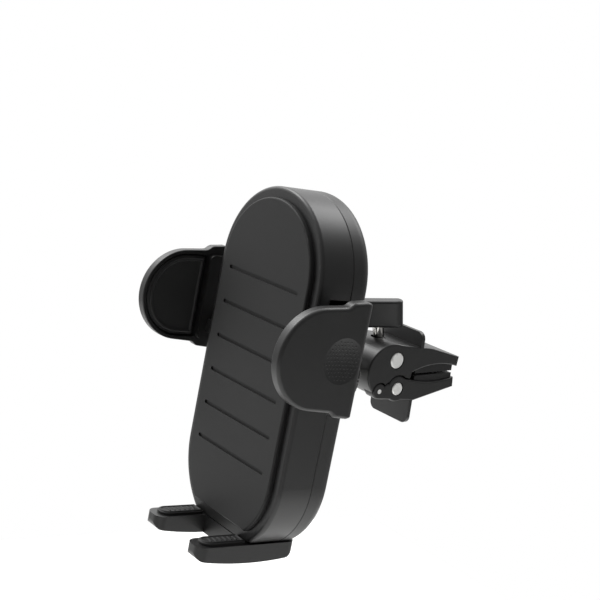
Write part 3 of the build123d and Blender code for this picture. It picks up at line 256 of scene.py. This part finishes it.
@dataclass(frozen=True)
class MouldedNylon:
    """Glass-filled nylon, injection moulded in a spark-eroded tool.

    The eroded tool leaves a fine even grain, which breaks the highlight up and makes it broad and
    grey. The flow of the melt leaves slow changes of tone and gloss.
    """

    name: str
    colour: str
    roughness: float
    grain_mm: float = 0.35  # Real grain is near 0.1 mm; drawn coarser, so that it shows.
    grain_depth_mm: float = 0.012
    grain_strength: float = 0.6
    grain_detail: float = 2.0
    flow_mm: float = 14.0  # Spacing of the flow marks that the melt leaves.
    flow_detail: float = 3.0
    flow_range: Pair = (0.35, 0.7)
    flow_tone: float = 1.24
    gloss_spread: Pair = (-0.04, 0.05)
    ior: float = 1.53

    def build(self) -> bpy.types.Material:
        """Make the material.

        Returns:
            A material with grain, slight mottling and an uneven gloss.
        """
        material, tree, shader = start_material(self.name)
        place = add_node(tree, "ShaderNodeTexCoord").outputs["Object"]
        flow = add_node(tree, "ShaderNodeTexNoise", {
            "Vector": place, "Scale": 1 / (self.flow_mm * MM), "Detail": self.flow_detail}).outputs["Fac"]
        ramp = add_node(tree, "ShaderNodeValToRGB", {"Fac": flow})
        dark, pale = ramp.color_ramp.elements
        dark.color = linear_colour(self.colour)
        pale.color = brighter(linear_colour(self.colour), self.flow_tone)
        dark.position, pale.position = self.flow_range
        tree.links.new(ramp.outputs["Color"], shader.inputs["Base Color"])
        gloss = add_node(tree, "ShaderNodeMapRange", {
            "Value": flow, "To Min": self.roughness + self.gloss_spread[0],
            "To Max": self.roughness + self.gloss_spread[1]})
        tree.links.new(gloss.outputs["Result"], shader.inputs["Roughness"])
        grain = add_node(tree, "ShaderNodeTexNoise", {
            "Vector": place, "Scale": 1 / (self.grain_mm * MM), "Detail": self.grain_detail})
        bump = add_node(tree, "ShaderNodeBump", {
            "Height": grain.outputs["Fac"], "Strength": self.grain_strength,
            "Distance": self.grain_depth_mm * MM})
        tree.links.new(bump.outputs["Normal"], shader.inputs["Normal"])
        shader.inputs["IOR"].default_value = self.ior
        return material


@dataclass(frozen=True)
class SiliconeRubber:
    """Silicone rubber, compression moulded.

    It is matt and slightly dusty, with a soft sheen at its edges.
    """

    name: str
    colour: str
    roughness: float = 0.6
    grain_mm: float = 0.5  # Real grain is near 0.15 mm; drawn coarser, so that it shows.
    grain_depth_mm: float = 0.015
    grain_strength: float = 0.5
    grain_detail: float = 3.0
    bloom_mm: float = 9.0  # Size of the patches where dust and talc cling.
    bloom_detail: float = 4.0
    bloom_tone: float = 1.35
    ior: float = 1.41
    sheen: float = 0.05
    sheen_roughness: float = 0.5

    def build(self) -> bpy.types.Material:
        """Make the material.

        Returns:
            A matt dark rubber with a faint bloom.
        """
        material, tree, shader = start_material(self.name)
        place = add_node(tree, "ShaderNodeTexCoord").outputs["Object"]
        bloom = add_node(tree, "ShaderNodeTexNoise", {
            "Vector": place, "Scale": 1 / (self.bloom_mm * MM), "Detail": self.bloom_detail})
        ramp = add_node(tree, "ShaderNodeValToRGB", {"Fac": bloom.outputs["Fac"]})
        dark, pale = ramp.color_ramp.elements
        dark.color = linear_colour(self.colour)
        pale.color = brighter(linear_colour(self.colour), self.bloom_tone)
        tree.links.new(ramp.outputs["Color"], shader.inputs["Base Color"])
        grain = add_node(tree, "ShaderNodeTexNoise", {
            "Vector": place, "Scale": 1 / (self.grain_mm * MM), "Detail": self.grain_detail})
        bump = add_node(tree, "ShaderNodeBump", {
            "Height": grain.outputs["Fac"], "Strength": self.grain_strength,
            "Distance": self.grain_depth_mm * MM})
        tree.links.new(bump.outputs["Normal"], shader.inputs["Normal"])
        shader.inputs["Roughness"].default_value = self.roughness
        shader.inputs["IOR"].default_value = self.ior
        shader.inputs["Sheen Weight"].default_value = self.sheen
        shader.inputs["Sheen Roughness"].default_value = self.sheen_roughness
        return material


@dataclass(frozen=True)
class WorkedSteel:
    """Steel bar, drawn or tumbled.

    The marks of its working stretch or spread the highlight, and faint stains change its gloss.
    """

    name: str
    colour: str
    roughness: float
    lay: Lay
    mark_mm: float = 0.25  # Real marks are near 0.05 mm apart; drawn coarser, so that they show.
    mark_depth_mm: float = 0.01
    mark_strength: float = 0.35
    drawn_squeeze: float = 0.03
    drawn_detail: float = 2.0
    tumbled_detail: float = 4.0
    stain_mm: float = 3.0  # Size of the faint stains that handling leaves.
    stain_detail: float = 3.0
    gloss_spread: Pair = (-0.06, 0.08)

    def build(self) -> bpy.types.Material:
        """Make the material.

        Returns:
            A metal with the marks of its working.
        """
        material, tree, shader = start_material(self.name)
        place = add_node(tree, "ShaderNodeTexCoord").outputs["Object"]
        if self.lay is Lay.DRAWN:
            stretch = add_node(tree, "ShaderNodeMapping", {
                "Vector": place, "Scale": (1.0, 1.0, self.drawn_squeeze)})
            marks = add_node(tree, "ShaderNodeTexNoise", {
                "Vector": stretch.outputs["Vector"], "Scale": 1 / (self.mark_mm * MM),
                "Detail": self.drawn_detail})
        else:
            marks = add_node(tree, "ShaderNodeTexNoise", {
                "Vector": place, "Scale": 1 / (self.mark_mm * MM), "Detail": self.tumbled_detail})
        bump = add_node(tree, "ShaderNodeBump", {
            "Height": marks.outputs["Fac"], "Strength": self.mark_strength,
            "Distance": self.mark_depth_mm * MM})
        tree.links.new(bump.outputs["Normal"], shader.inputs["Normal"])
        stain = add_node(tree, "ShaderNodeTexNoise", {
            "Vector": place, "Scale": 1 / (self.stain_mm * MM), "Detail": self.stain_detail})
        gloss = add_node(tree, "ShaderNodeMapRange", {
            "Value": stain.outputs["Fac"], "To Min": self.roughness + self.gloss_spread[0],
            "To Max": self.roughness + self.gloss_spread[1]})
        tree.links.new(gloss.outputs["Result"], shader.inputs["Roughness"])
        shader.inputs["Base Color"].default_value = linear_colour(self.colour)
        shader.inputs["Metallic"].default_value = 1.0
        return material


Finish = MouldedNylon | SiliconeRubber | WorkedSteel


@dataclass
class FinishShelf:
    """Every finish of the holder, each built at its first use."""

    # Nylon from a spark-eroded tool: near black, with a broad grey highlight.
    nylon: Finish = MouldedNylon("nylon_spark_grain", "0f0f0f", 0.4)
    # The same nylon from a finer eroded tool, with a softer sheen. Its colour is a shade paler as painted
    # light: the rear cover catches the light while the front frame lies in shade.
    shell: Finish = MouldedNylon("nylon_shell_sheen_painted_pale", "121212", 0.45, grain_mm=0.3)
    # Acetal from a plain ground tool: smoother and blacker, with hardly any grain.
    acetal: Finish = MouldedNylon("acetal_as_moulded_black", "0d0d0d", 0.4, grain_mm=0.8,
                                  grain_depth_mm=0.006)
    # Silicone pressed in a matt tool: no clear highlight, and a faint dusty bloom.
    rubber: Finish = SiliconeRubber("silicone_moulded_black", "0f0f0f")
    # Steel pins tumbled with stones: pale and even, and never a mirror.
    pin_steel: Finish = WorkedSteel("steel_tumbled_pin", "ececea", 0.58, Lay.TUMBLED)
    # Drawn steel with a nickel plating: bright, with streaks along the bar.
    plated: Finish = WorkedSteel("steel_nickel_plated", "dedcd8", 0.14, Lay.DRAWN)
    # Steel from a black oxide bath: dark grey, with a dull glint of metal.
    black_steel: Finish = WorkedSteel("steel_black_oxide", "2e2d2c", 0.4, Lay.TUMBLED)
    # Spring wire drawn and hardened in oil: dark brown grey, with fine lines.
    spring_steel: Finish = WorkedSteel("steel_spring_oil_tempered", "4c4a48", 0.36, Lay.DRAWN)
    made: dict[str, bpy.types.Material] = field(default_factory=dict)

    def pick(self, finish: Finish) -> bpy.types.Material:
        """Give the material of a finish, built at its first use.

        Args:
            finish: One of the shelf's finishes.

        Returns:
            Its material.
        """
        if finish.name not in self.made:
            self.made[finish.name] = finish.build()
        return self.made[finish.name]

    def dress(self, finish: Finish, *nodes: str) -> None:
        """Give CAD nodes their material.

        Args:
            finish: Finish for all their faces.
            *nodes: Names of the CAD nodes.
        """
        for node in nodes:
            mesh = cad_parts[node].data
            mesh.materials.clear()
            mesh.materials.append(self.pick(finish))
            LOG.info("dressed %s in %s", node, finish.name)

    def coat(self, piece: bpy.types.Object, finish: Finish, body: str) -> None:
        """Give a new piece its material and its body.

        Args:
            piece: The new piece.
            finish: Its finish.
            body: Name of the body that it rides on.
        """
        piece.data.materials.append(self.pick(finish))
        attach(piece, body)
        LOG.info("built %s on %s", piece.name, body)


@dataclass
class SideArm:
    """One side arm: a round-nosed plate with a dotted thumb dish outside and a pad inside."""

    side: Side
    axis_z_mm: float = 13.5
    dish_y_mm: float = 3.9
    dish_radius_mm: float = 6.8
    dish_rim_mm: float = 0.9
    ball_radius_mm: float = 33.38  # The dish is the mark of a ball this large.
    ball_centre_x_mm: float = 72.28
    dot_radius_mm: float = 0.34
    dot_height_mm: float = 0.085
    dot_sunk_mm: float = 0.03
    dot_profile: tuple[Pair, ...] = ((0.92, 0.35), (0.6, 0.85))  # Shares of radius and height.
    dot_sides: int = 10
    dot_pitch_mm: float = 1.25
    pad_nose_y_mm: float = -3.5
    pad_radius_mm: float = 13.1
    pad_rear_y_mm: float = 2.6
    pad_rear_radius_mm: float = 1.0
    pad_floor_x_mm: float = 37.55
    pad_corner_steps: int = 24
    lip_profile_mm: tuple[Pair, ...] = (
        (0.0, 0.0), (0.0, 0.86), (0.07, 0.98), (0.2, 1.04), (0.55, 1.06), (0.68, 1.12), (0.76, 1.3),
        (0.83, 1.56), (0.93, 1.71), (1.08, 1.78), (1.25, 1.79), (1.42, 1.73), (1.54, 1.6), (1.66, 1.48),
        (1.85, 1.42), (2.4, 1.41), (4.2, 1.46))

    @property
    def name(self) -> str:
        """Name of the arm's node."""
        return "right_arm" if self.side is Side.RIGHT else "left_arm"

    @property
    def body(self) -> str:
        """Name of the body that the arm belongs to."""
        return "right_clamp" if self.side is Side.RIGHT else "left_clamp"

    def spot(self, x_mm: float, y_mm: float, up_mm: float) -> Vector:
        """Place a point of the right arm in metres, turned half round the pinion for the left one."""
        sign = self.side.value
        return Vector((sign * x_mm, y_mm, self.axis_z_mm + sign * up_mm)) * MM

    def dish_x(self, reach_mm: float) -> float:
        """Give the right arm's X in its dish, at a distance from the dish's middle."""
        return self.ball_centre_x_mm - math.sqrt(self.ball_radius_mm ** 2 - reach_mm ** 2)

    def dots(self) -> bpy.types.Object:
        """Build the small raised dots of the thumb dish.

        Returns:
            One piece with all dots.
        """
        domes = bmesh.new()
        edge = self.dish_radius_mm - self.dish_rim_mm
        row_pitch = self.dot_pitch_mm * math.sqrt(3) / 2
        rows = int(edge / row_pitch) + 1
        for row in range(-rows, rows + 1):
            up = row * row_pitch
            for column in range(-rows - 1, rows + 2):
                back = (column + 0.5 * (row % 2)) * self.dot_pitch_mm
                if math.hypot(back, up) <= edge:
                    self.dome(domes, back, up)
        return add_mesh(f"{self.name}_dots", domes)

    def dome(self, domes: bmesh.types.BMesh, back_mm: float, up_mm: float) -> None:
        """Add one dot to the dish.

        Args:
            domes: Mesh that gets the dot.
            back_mm: Its place rearward from the dish's middle.
            up_mm: Its place upward from the dish's middle.
        """
        levels = [(1.0, -self.dot_sunk_mm)]
        levels += [(share, height * self.dot_height_mm) for share, height in self.dot_profile]
        rings = []
        for share, height in levels:
            ring = []
            for cosine, sine in full_turn(self.dot_sides):
                y = back_mm + share * self.dot_radius_mm * cosine
                z = up_mm + share * self.dot_radius_mm * sine
                x = self.dish_x(math.hypot(y, z)) + height
                ring.append(domes.verts.new(self.spot(x, self.dish_y_mm + y, z)))
            rings.append(ring)
        top_x = self.dish_x(math.hypot(back_mm, up_mm)) + self.dot_height_mm
        top = domes.verts.new(self.spot(top_x, self.dish_y_mm + back_mm, up_mm))
        for low, high in zip(rings, rings[1:]):
            for step in range(self.dot_sides):
                onward = (step + 1) % self.dot_sides
                domes.faces.new((low[step], low[onward], high[onward], high[step]))
        for step in range(self.dot_sides):
            domes.faces.new((rings[-1][step], rings[-1][(step + 1) % self.dot_sides], top))
        domes.faces.new(list(reversed(rings[0])))

    def pad(self) -> bpy.types.Object:
        """Build the rubber pad with the raised bead that runs round it.

        Returns:
            The pad.
        """
        rings = []
        for inset, height in self.lip_profile_mm:
            radius = self.pad_radius_mm
            outline = rounded_outline((self.pad_nose_y_mm - radius, -radius),
                                      (self.pad_rear_y_mm, radius),
                                      (radius, self.pad_rear_radius_mm), inset, self.pad_corner_steps)
            rings.append([self.spot(self.pad_floor_x_mm - height, y, z) for y, z in outline])
        return skin(f"{self.name}_pad_moulded", rings)

    def build(self, shelf: FinishShelf) -> None:
        """Dress the arm and add its pad and dots.

        Args:
            shelf: The finishes.
        """
        shelf.dress(shelf.nylon, self.name)
        shelf.dress(shelf.rubber, f"{self.name}_pad")
        pad = self.pad()
        shelf.coat(pad, shelf.rubber, self.body)
        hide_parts(f"{self.name}_pad")
        shelf.coat(self.dots(), shelf.nylon, self.body)


@dataclass
class FootPair:
    """The two feet at the cradle's lower end, with a beaded rubber strip on each."""

    front_radius_mm: float = 2.88
    rear_radius_mm: float = 0.6
    lip_profile_mm: tuple[Pair, ...] = (
        (0.0, 0.0), (0.0, 0.62), (0.05, 0.74), (0.14, 0.8), (0.34, 0.82), (0.42, 0.88), (0.48, 1.0),
        (0.56, 1.12), (0.68, 1.18), (0.84, 1.19), (0.98, 1.14), (1.08, 1.04), (1.2, 0.97), (1.5, 0.95),
        (2.2, 0.96))
    rib_width_mm: float = 0.7
    rib_pitch_mm: float = 1.8
    rib_height_mm: float = 0.17
    rib_corner_mm: float = 0.34
    rib_start_mm: float = 0.6
    rib_end_mm: float = 2.0
    rib_side_mm: float = 1.5
    rib_profile: tuple[Pair, ...] = ((0.0, -0.04), (0.06, 0.6), (0.2, 1.0))
    rib_corner_steps: int = 4
    rib_side_steps: int = 2

    def strip(self, node: str) -> bpy.types.Object:
        """Build the rubber strip of one foot.

        Args:
            node: Name of the CAD node that it stands for.

        Returns:
            The strip with its bead.
        """
        low, high = (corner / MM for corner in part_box(node))
        rings = []
        for inset, height in self.lip_profile_mm:
            outline = rounded_outline((low.y, low.x), (high.y, high.x),
                                      (self.front_radius_mm, self.rear_radius_mm), inset)
            rings.append([Vector((x, y, low.z + height)) * MM for y, x in outline])
        return skin(f"{node}_moulded", rings)

    def ribs(self, node: str) -> bpy.types.Object:
        """Build the low cross ribs inside the strip's bead.

        Args:
            node: Name of the CAD node that they lie on.

        Returns:
            One piece with all ribs.
        """
        low, high = (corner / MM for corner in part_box(node))
        floor_z = low.z + self.lip_profile_mm[-1][1]
        first = low.y + self.front_radius_mm + self.rib_start_mm
        count = int((high.y - self.rib_end_mm - first) / self.rib_pitch_mm) + 1
        rings = []
        for number in range(count):
            middle = first + number * self.rib_pitch_mm
            for inset, height in self.rib_profile:
                outline = rounded_outline((middle - self.rib_width_mm / 2, low.x + self.rib_side_mm),
                                          (middle + self.rib_width_mm / 2, high.x - self.rib_side_mm),
                                          (self.rib_corner_mm, self.rib_corner_mm), inset,
                                          self.rib_corner_steps, self.rib_side_steps)
                z = floor_z + height * self.rib_height_mm
                rings.append([Vector((x, y, z)) * MM for y, x in outline])
        return skin(f"{node}_ribs", rings, count)

    def build(self, shelf: FinishShelf) -> None:
        """Dress the feet and add their strips.

        Args:
            shelf: The finishes.
        """
        shelf.dress(shelf.nylon, "foot_carrier")
        for node in ("right_foot_pad", "left_foot_pad"):
            shelf.dress(shelf.rubber, node)
            strip = self.strip(node)
            shelf.coat(strip, shelf.rubber, "feet")
            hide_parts(node)
            shelf.coat(self.ribs(node), shelf.rubber, "feet")


@dataclass
class Cradle:
    """Shell of the cradle with its rest pad, button, drive, cover screws and pawl spring."""

    head_radius_mm: float = 2.0
    head_height_mm: float = 1.1
    seat_break_mm: Pair = (0.05, 0.08)
    crown_mm: tuple[Pair, ...] = ((0.0, 0.35), (0.06, 0.2), (0.2, 0.07))  # Inward, below the top.
    face_inset_mm: float = 0.35
    face_ring_mm: float = 0.09
    face_rings: int = 18
    head_sides: int = 72
    shank_radius_mm: float = 1.0
    tip_radius_mm: float = 0.6
    tip_length_mm: float = 0.4
    recess_reach_mm: float = 1.15
    recess_half_width_mm: float = 0.27
    recess_depth_mm: float = 0.55
    recess_wall_mm: float = 0.12
    coil_wire_mm: float = 0.44
    coil_turns: float = 6.0
    coil_steps_per_turn: int = 28
    coil_wire_sides: int = 10
    coil_fixed_z_mm: float = 49.1
    coil_travel_mm: float = 1.7

    def recess(self, x_mm: float, z_mm: float) -> float:
        """Give the depth of the cross recess at a point of a screw's head.

        Args:
            x_mm: Across from the head's middle.
            z_mm: Up from the head's middle.

        Returns:
            Depth in millimetres.
        """
        wide, slim = max(abs(x_mm), abs(z_mm)), min(abs(x_mm), abs(z_mm))
        inside = min(self.recess_reach_mm - wide, self.recess_half_width_mm - slim)
        return self.recess_depth_mm * min(max(inside / self.recess_wall_mm, 0.0), 1.0)

    def screws(self) -> bpy.types.Object:
        """Build the cover screws with a cross recess in each head.

        Returns:
            One piece with the four screws.
        """
        low, high = (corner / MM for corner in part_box("cover_screws"))
        reach_x = high.x - self.head_radius_mm
        reach_z = high.z - self.head_radius_mm
        places = [(x, z) for x in (-reach_x, reach_x) for z in (-reach_z, reach_z)]
        rings: list[Ring] = []
        for place_x, place_z in places:
            rings += self.screw_rings(place_x, place_z, low.y, high.y)
        return skin("cover_screws_recessed", rings, len(places))

    def screw_rings(self, place_x: float, place_z: float, tip_y: float, top_y: float) -> list[Ring]:
        """Give the rings of one screw from its tip to the middle of its head.

        Args:
            place_x: Its axis, across.
            place_z: Its axis, up.
            tip_y: Place of its tip.
            top_y: Place of its head's top.

        Returns:
            Rings in metres.
        """
        seat_y = top_y - self.head_height_mm
        flank = [(self.tip_radius_mm, tip_y), (self.shank_radius_mm, tip_y + self.tip_length_mm),
                 (self.shank_radius_mm, seat_y), (self.head_radius_mm - self.seat_break_mm[0], seat_y),
                 (self.head_radius_mm, seat_y + self.seat_break_mm[1])]
        flank += [(self.head_radius_mm - inset, top_y - below) for inset, below in self.crown_mm]
        face = [(self.head_radius_mm - self.face_inset_mm - self.face_ring_mm * step, top_y)
                for step in range(self.face_rings)]
        rings = []
        for number, (radius, y) in enumerate(flank + face):
            ring = []
            for cosine, sine in full_turn(self.head_sides):
                x, z = radius * cosine, radius * sine
                sunk = self.recess(x, z) if number >= len(flank) else 0.0
                ring.append(Vector((place_x + x, y - sunk, place_z + z)) * MM)
            rings.append(ring)
        return rings

    def coil(self) -> tuple[bpy.types.Object, float]:
        """Build the pawl's spring as one wound wire.

        Returns:
            The spring and the share of its length that is left when the pawl is lifted.
        """
        low, high = (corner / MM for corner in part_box("pawl_spring"))
        middle = (low + high) / 2
        wire = self.coil_wire_mm / 2
        radius = (high.x - low.x) / 2 - wire
        length = high.z - low.z - 2 * wire
        steps = int(self.coil_turns * self.coil_steps_per_turn)
        rings = []
        for step in range(steps + 1):
            turn = 2 * math.pi * self.coil_turns * step / steps
            outward = Vector((math.cos(turn), math.sin(turn), 0))
            level = Vector((middle.x, middle.y, low.z + wire + length * step / steps))
            centre = level + outward * radius
            rings.append([(centre + outward * wire * cosine + Vector((0, 0, wire * sine))) * MM
                          for cosine, sine in full_turn(self.coil_wire_sides)])
        keep = 1 - self.coil_travel_mm / (self.coil_fixed_z_mm - low.z)
        return skin("pawl_spring_wound", rings), keep

    def build(self, shelf: FinishShelf) -> None:
        """Dress the cradle and add its screws and spring.

        Args:
            shelf: The finishes.
        """
        shelf.dress(shelf.nylon, "front_frame", "keeper_plate")
        # The rear cover and button take the paler copy of the nylon: painted light, set against the
        # shaded front frame.
        shelf.dress(shelf.shell, "rear_cover", "release_button")
        shelf.dress(shelf.rubber, "rest_pad")
        shelf.dress(shelf.acetal, "sync_gear", "release_pawl")
        shelf.dress(shelf.spring_steel, "return_spring", "pawl_spring")
        shelf.dress(shelf.black_steel, "gear_axle", "keeper_screws", "cover_screws")
        screws = self.screws()
        shelf.coat(screws, shelf.black_steel, "cradle")
        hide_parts("cover_screws")
        coil, keep = self.coil()
        shelf.coat(coil, shelf.spring_steel, "cradle")
        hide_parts("pawl_spring")
        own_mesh(coil)


@dataclass
class BallJoint:
    """Ball, liner, socket and ring nut between the cradle and the clip."""

    def build(self, shelf: FinishShelf) -> None:
        """Dress the joint.

        Args:
            shelf: The finishes.
        """
        shelf.dress(shelf.nylon, "ball_socket", "ring_nut")
        shelf.dress(shelf.acetal, "ball_liner")
        shelf.dress(shelf.pin_steel, "ball_stud", "socket_washer", "socket_screw")


@dataclass
class VentClip:
    """Clip with its hinged lower jaw, dowels, clamping screw and knob."""

    swivel_mm: tuple[float, float, float] = (0.0, 51.998, 6.103)  # Upper dowel's axis.
    screw_up: tuple[float, float, float] = (0.0, -0.262815, 0.964846)
    root_mm: float = 1.02
    crest_mm: float = 1.25
    pitch_mm: float = 0.5
    flank_steepness: float = 1.35  # Above 1, which leaves a flat at the thread's root.
    tip_mm: float = -12.946
    tip_chamfer_mm: float = 0.3
    thread_end_mm: float = -3.1
    thread_runout_mm: float = 0.3
    post_start_mm: float = 2.01
    post_break_mm: float = 0.12
    post_ring_mm: float = 5.0  # A ring between the post's ends keeps its quads short.
    post_end_mm: float = 13.8
    post_radius_mm: float = 1.85
    steps_round: int = 40
    steps_per_pitch: int = 8

    def thread_radius(self, height_mm: float, share: float) -> float:
        """Give the thread's radius at a height and a share of a turn.

        Args:
            height_mm: Height along the screw.
            share: Share of a turn round the screw.

        Returns:
            Radius in millimetres.
        """
        phase = (height_mm / self.pitch_mm - share) % 1.0
        flank = min(1.0, self.flank_steepness * abs(2 * phase - 1))
        run_in = min(1.0, (height_mm - self.tip_mm) / self.pitch_mm,
                     max(0.0, (self.thread_end_mm - height_mm) / self.pitch_mm))
        return self.crest_mm - (self.crest_mm - self.root_mm) * flank * run_in

    def screw_ring(self, height_mm: float, radii_mm: list[float]) -> Ring:
        """Place one ring of the screw.

        Args:
            height_mm: Height along the screw, from the upper dowel's axis.
            radii_mm: Radius at each step round the screw.

        Returns:
            The ring in metres.
        """
        upward = Vector(self.screw_up).normalized()
        across = Vector((1, 0, 0))
        along = upward.cross(across)
        middle = Vector(self.swivel_mm) + upward * height_mm
        return [(middle + (across * cosine + along * sine) * radius) * MM
                for radius, (cosine, sine) in zip(radii_mm, full_turn(self.steps_round))]

    def screw(self) -> bpy.types.Object:
        """Build the clamping screw: threaded shank below, thick bright post above.

        Returns:
            The screw.
        """
        length = self.thread_end_mm - self.tip_mm
        count = int(length / self.pitch_mm * self.steps_per_pitch)
        rings = []
        for number in range(count + 1):
            height = self.tip_mm + length * number / count
            limit = self.crest_mm - max(0.0, self.tip_chamfer_mm - (height - self.tip_mm))
            rings.append(self.screw_ring(height, [
                min(limit, self.thread_radius(height, step / self.steps_round))
                for step in range(self.steps_round)]))
        plain = [(self.crest_mm, self.thread_end_mm + self.thread_runout_mm),
                 (self.crest_mm, self.post_start_mm),
                 (self.post_radius_mm - self.post_break_mm, self.post_start_mm),
                 (self.post_radius_mm, self.post_start_mm + self.post_break_mm),
                 (self.post_radius_mm, self.post_ring_mm), (self.post_radius_mm, self.post_end_mm)]
        rings += [self.screw_ring(height, [radius] * self.steps_round) for radius, height in plain]
        return skin("clamp_screw_threaded", rings)

    def build(self, shelf: FinishShelf) -> None:
        """Dress the clip and build its screw.

        Args:
            shelf: The finishes.
        """
        shelf.dress(shelf.nylon, "clip_body", "lower_jaw", "thumb_knob")
        shelf.dress(shelf.rubber, "upper_jaw_pad", "lower_jaw_pad")
        shelf.dress(shelf.pin_steel, "hinge_pin", "swivel_bush", "nut_dowel", "retaining_ring")
        shelf.dress(shelf.plated, "clamp_screw")
        screw = self.screw()
        shelf.coat(screw, shelf.plated, "screw")
        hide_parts("clamp_screw")


@dataclass
class Studio:
    """Pale floor, soft lights and the camera at the photograph's viewpoint."""

    eye_mm: tuple[float, float, float] = (299.45, -219.17, 84.77)
    aim_mm: tuple[float, float, float] = (-4.85, 19.42, 20.93)
    roll_deg: float = 11.09
    lens_mm: float = 74.86
    sensor_mm: float = 36.0
    seen_from_m: float = 0.01
    seen_to_m: float = 20.0
    floor_colour: str = "f4f4f3"
    floor_roughness: float = 0.9
    floor_drop_mm: float = 450.0
    floor_half_m: float = 1.0
    sun_spread_deg: float = 30.0
    key_from: tuple[float, float, float] = (-0.75, -0.35, 1.0)
    key_power: float = 1.8
    rim_from: tuple[float, float, float] = (-0.2, 0.9, 0.9)
    rim_power: float = 1.0
    backdrop_colour: str = "ffffff"
    dim_side: float = 0.3
    bright_side: float = 2.1
    bright_from: tuple[float, float, float] = (-0.7, 0.0, 0.71)
    bright_starts: float = -0.7
    bright_power: float = 4.0

    def camera(self) -> None:
        """Place the camera."""
        data = bpy.data.cameras.new("camera")
        data.lens = self.lens_mm
        data.sensor_width = self.sensor_mm
        data.clip_start = self.seen_from_m
        data.clip_end = self.seen_to_m
        seen = add_object("camera", data)
        eye = Vector(self.eye_mm) * MM
        forward = (Vector(self.aim_mm) * MM - eye).normalized()
        level = forward.cross(Vector((0, 0, 1))).normalized()
        upright = level.cross(forward)
        roll = math.radians(self.roll_deg)
        right = level * math.cos(roll) + upright * math.sin(roll)
        up = right.cross(forward)
        seen.matrix_world = Matrix((
            (right.x, up.x, -forward.x, eye.x),
            (right.y, up.y, -forward.y, eye.y),
            (right.z, up.z, -forward.z, eye.z),
            (0, 0, 0, 1)))
        bpy.context.scene.camera = seen

    def sun(self, name: str, came_from: tuple[float, float, float], power: float) -> None:
        """Add one wide soft light that reaches the floor and the holder evenly.

        Args:
            name: Name of the light.
            came_from: Direction that it comes from.
            power: Power on a square metre that faces it, in watts.
        """
        data = bpy.data.lights.new(name, "SUN")
        data.angle = math.radians(self.sun_spread_deg)
        data.energy = power
        lamp = add_object(name, data)
        lamp.rotation_euler = Vector(came_from).to_track_quat("Z", "Y").to_euler()

    def floor(self) -> None:
        """Lay the pale floor below the holder, which hangs from its clip."""
        mesh = bpy.data.meshes.new("floor")
        half = self.floor_half_m
        low = CAD_BOX[0].z - self.floor_drop_mm * MM
        mesh.from_pydata([(-half, -half, low), (half, -half, low), (half, half, low), (-half, half, low)],
                         [], [(0, 1, 2, 3)])
        plane = add_object("floor", mesh)
        material, _, shader = start_material("floor_paper")
        shader.inputs["Base Color"].default_value = linear_colour(self.floor_colour)
        shader.inputs["Roughness"].default_value = self.floor_roughness
        mesh.materials.append(material)

    def sky(self) -> None:
        """Surround the holder with soft light, brightest from the upper left, on a white backdrop."""
        world = bpy.data.worlds.new("studio")
        bpy.context.scene.world = world
        world.use_nodes = True
        tree = world.node_tree
        toward = Vector(self.bright_from).normalized()
        place = add_node(tree, "ShaderNodeTexCoord")
        facing = add_node(tree, "ShaderNodeVectorMath", {0: place.outputs["Generated"], 1: tuple(toward)},
                          operation="DOT_PRODUCT")
        share = add_node(tree, "ShaderNodeMapRange", {"Value": facing.outputs["Value"],
                                                      "From Min": self.bright_starts})
        steep = add_node(tree, "ShaderNodeMath", {0: share.outputs["Result"], 1: self.bright_power},
                         operation="POWER")
        level = add_node(tree, "ShaderNodeMapRange", {"Value": steep.outputs["Value"],
                                                      "To Min": self.dim_side,
                                                      "To Max": self.dim_side + self.bright_side})
        back = tree.nodes["Background"]
        back.inputs["Color"].default_value = linear_colour(self.backdrop_colour)
        tree.links.new(level.outputs["Result"], back.inputs["Strength"])
        paper = add_node(tree, "ShaderNodeBackground", {"Color": linear_colour(self.backdrop_colour)})
        ray = add_node(tree, "ShaderNodeLightPath")
        mixed = add_node(tree, "ShaderNodeMixShader", {
            0: ray.outputs["Is Camera Ray"], 1: back.outputs[0], 2: paper.outputs[0]})
        tree.links.new(mixed.outputs[0], tree.nodes["World Output"].inputs["Surface"])

    def build(self) -> None:
        """Set the whole studio up."""
        self.sky()
        self.floor()
        self.sun("key", self.key_from, self.key_power)
        self.sun("rim", self.rim_from, self.rim_power)
        self.camera()
        view = bpy.context.scene.view_settings
        view.view_transform = "Standard"
        view.look = "None"


def main() -> None:
    """Dress the holder, add its small shaped details and set the studio up."""
    logging.basicConfig(level=logging.INFO, format="%(message)s")
    shelf = FinishShelf()
    parts: list[Callable[[FinishShelf], None]] = [
        Cradle().build, SideArm(Side.RIGHT).build, SideArm(Side.LEFT).build, FootPair().build,
        BallJoint().build, VentClip().build]
    for build_part in parts:
        build_part(shelf)
    Studio().build()


if __name__ == "__main__":
    main()
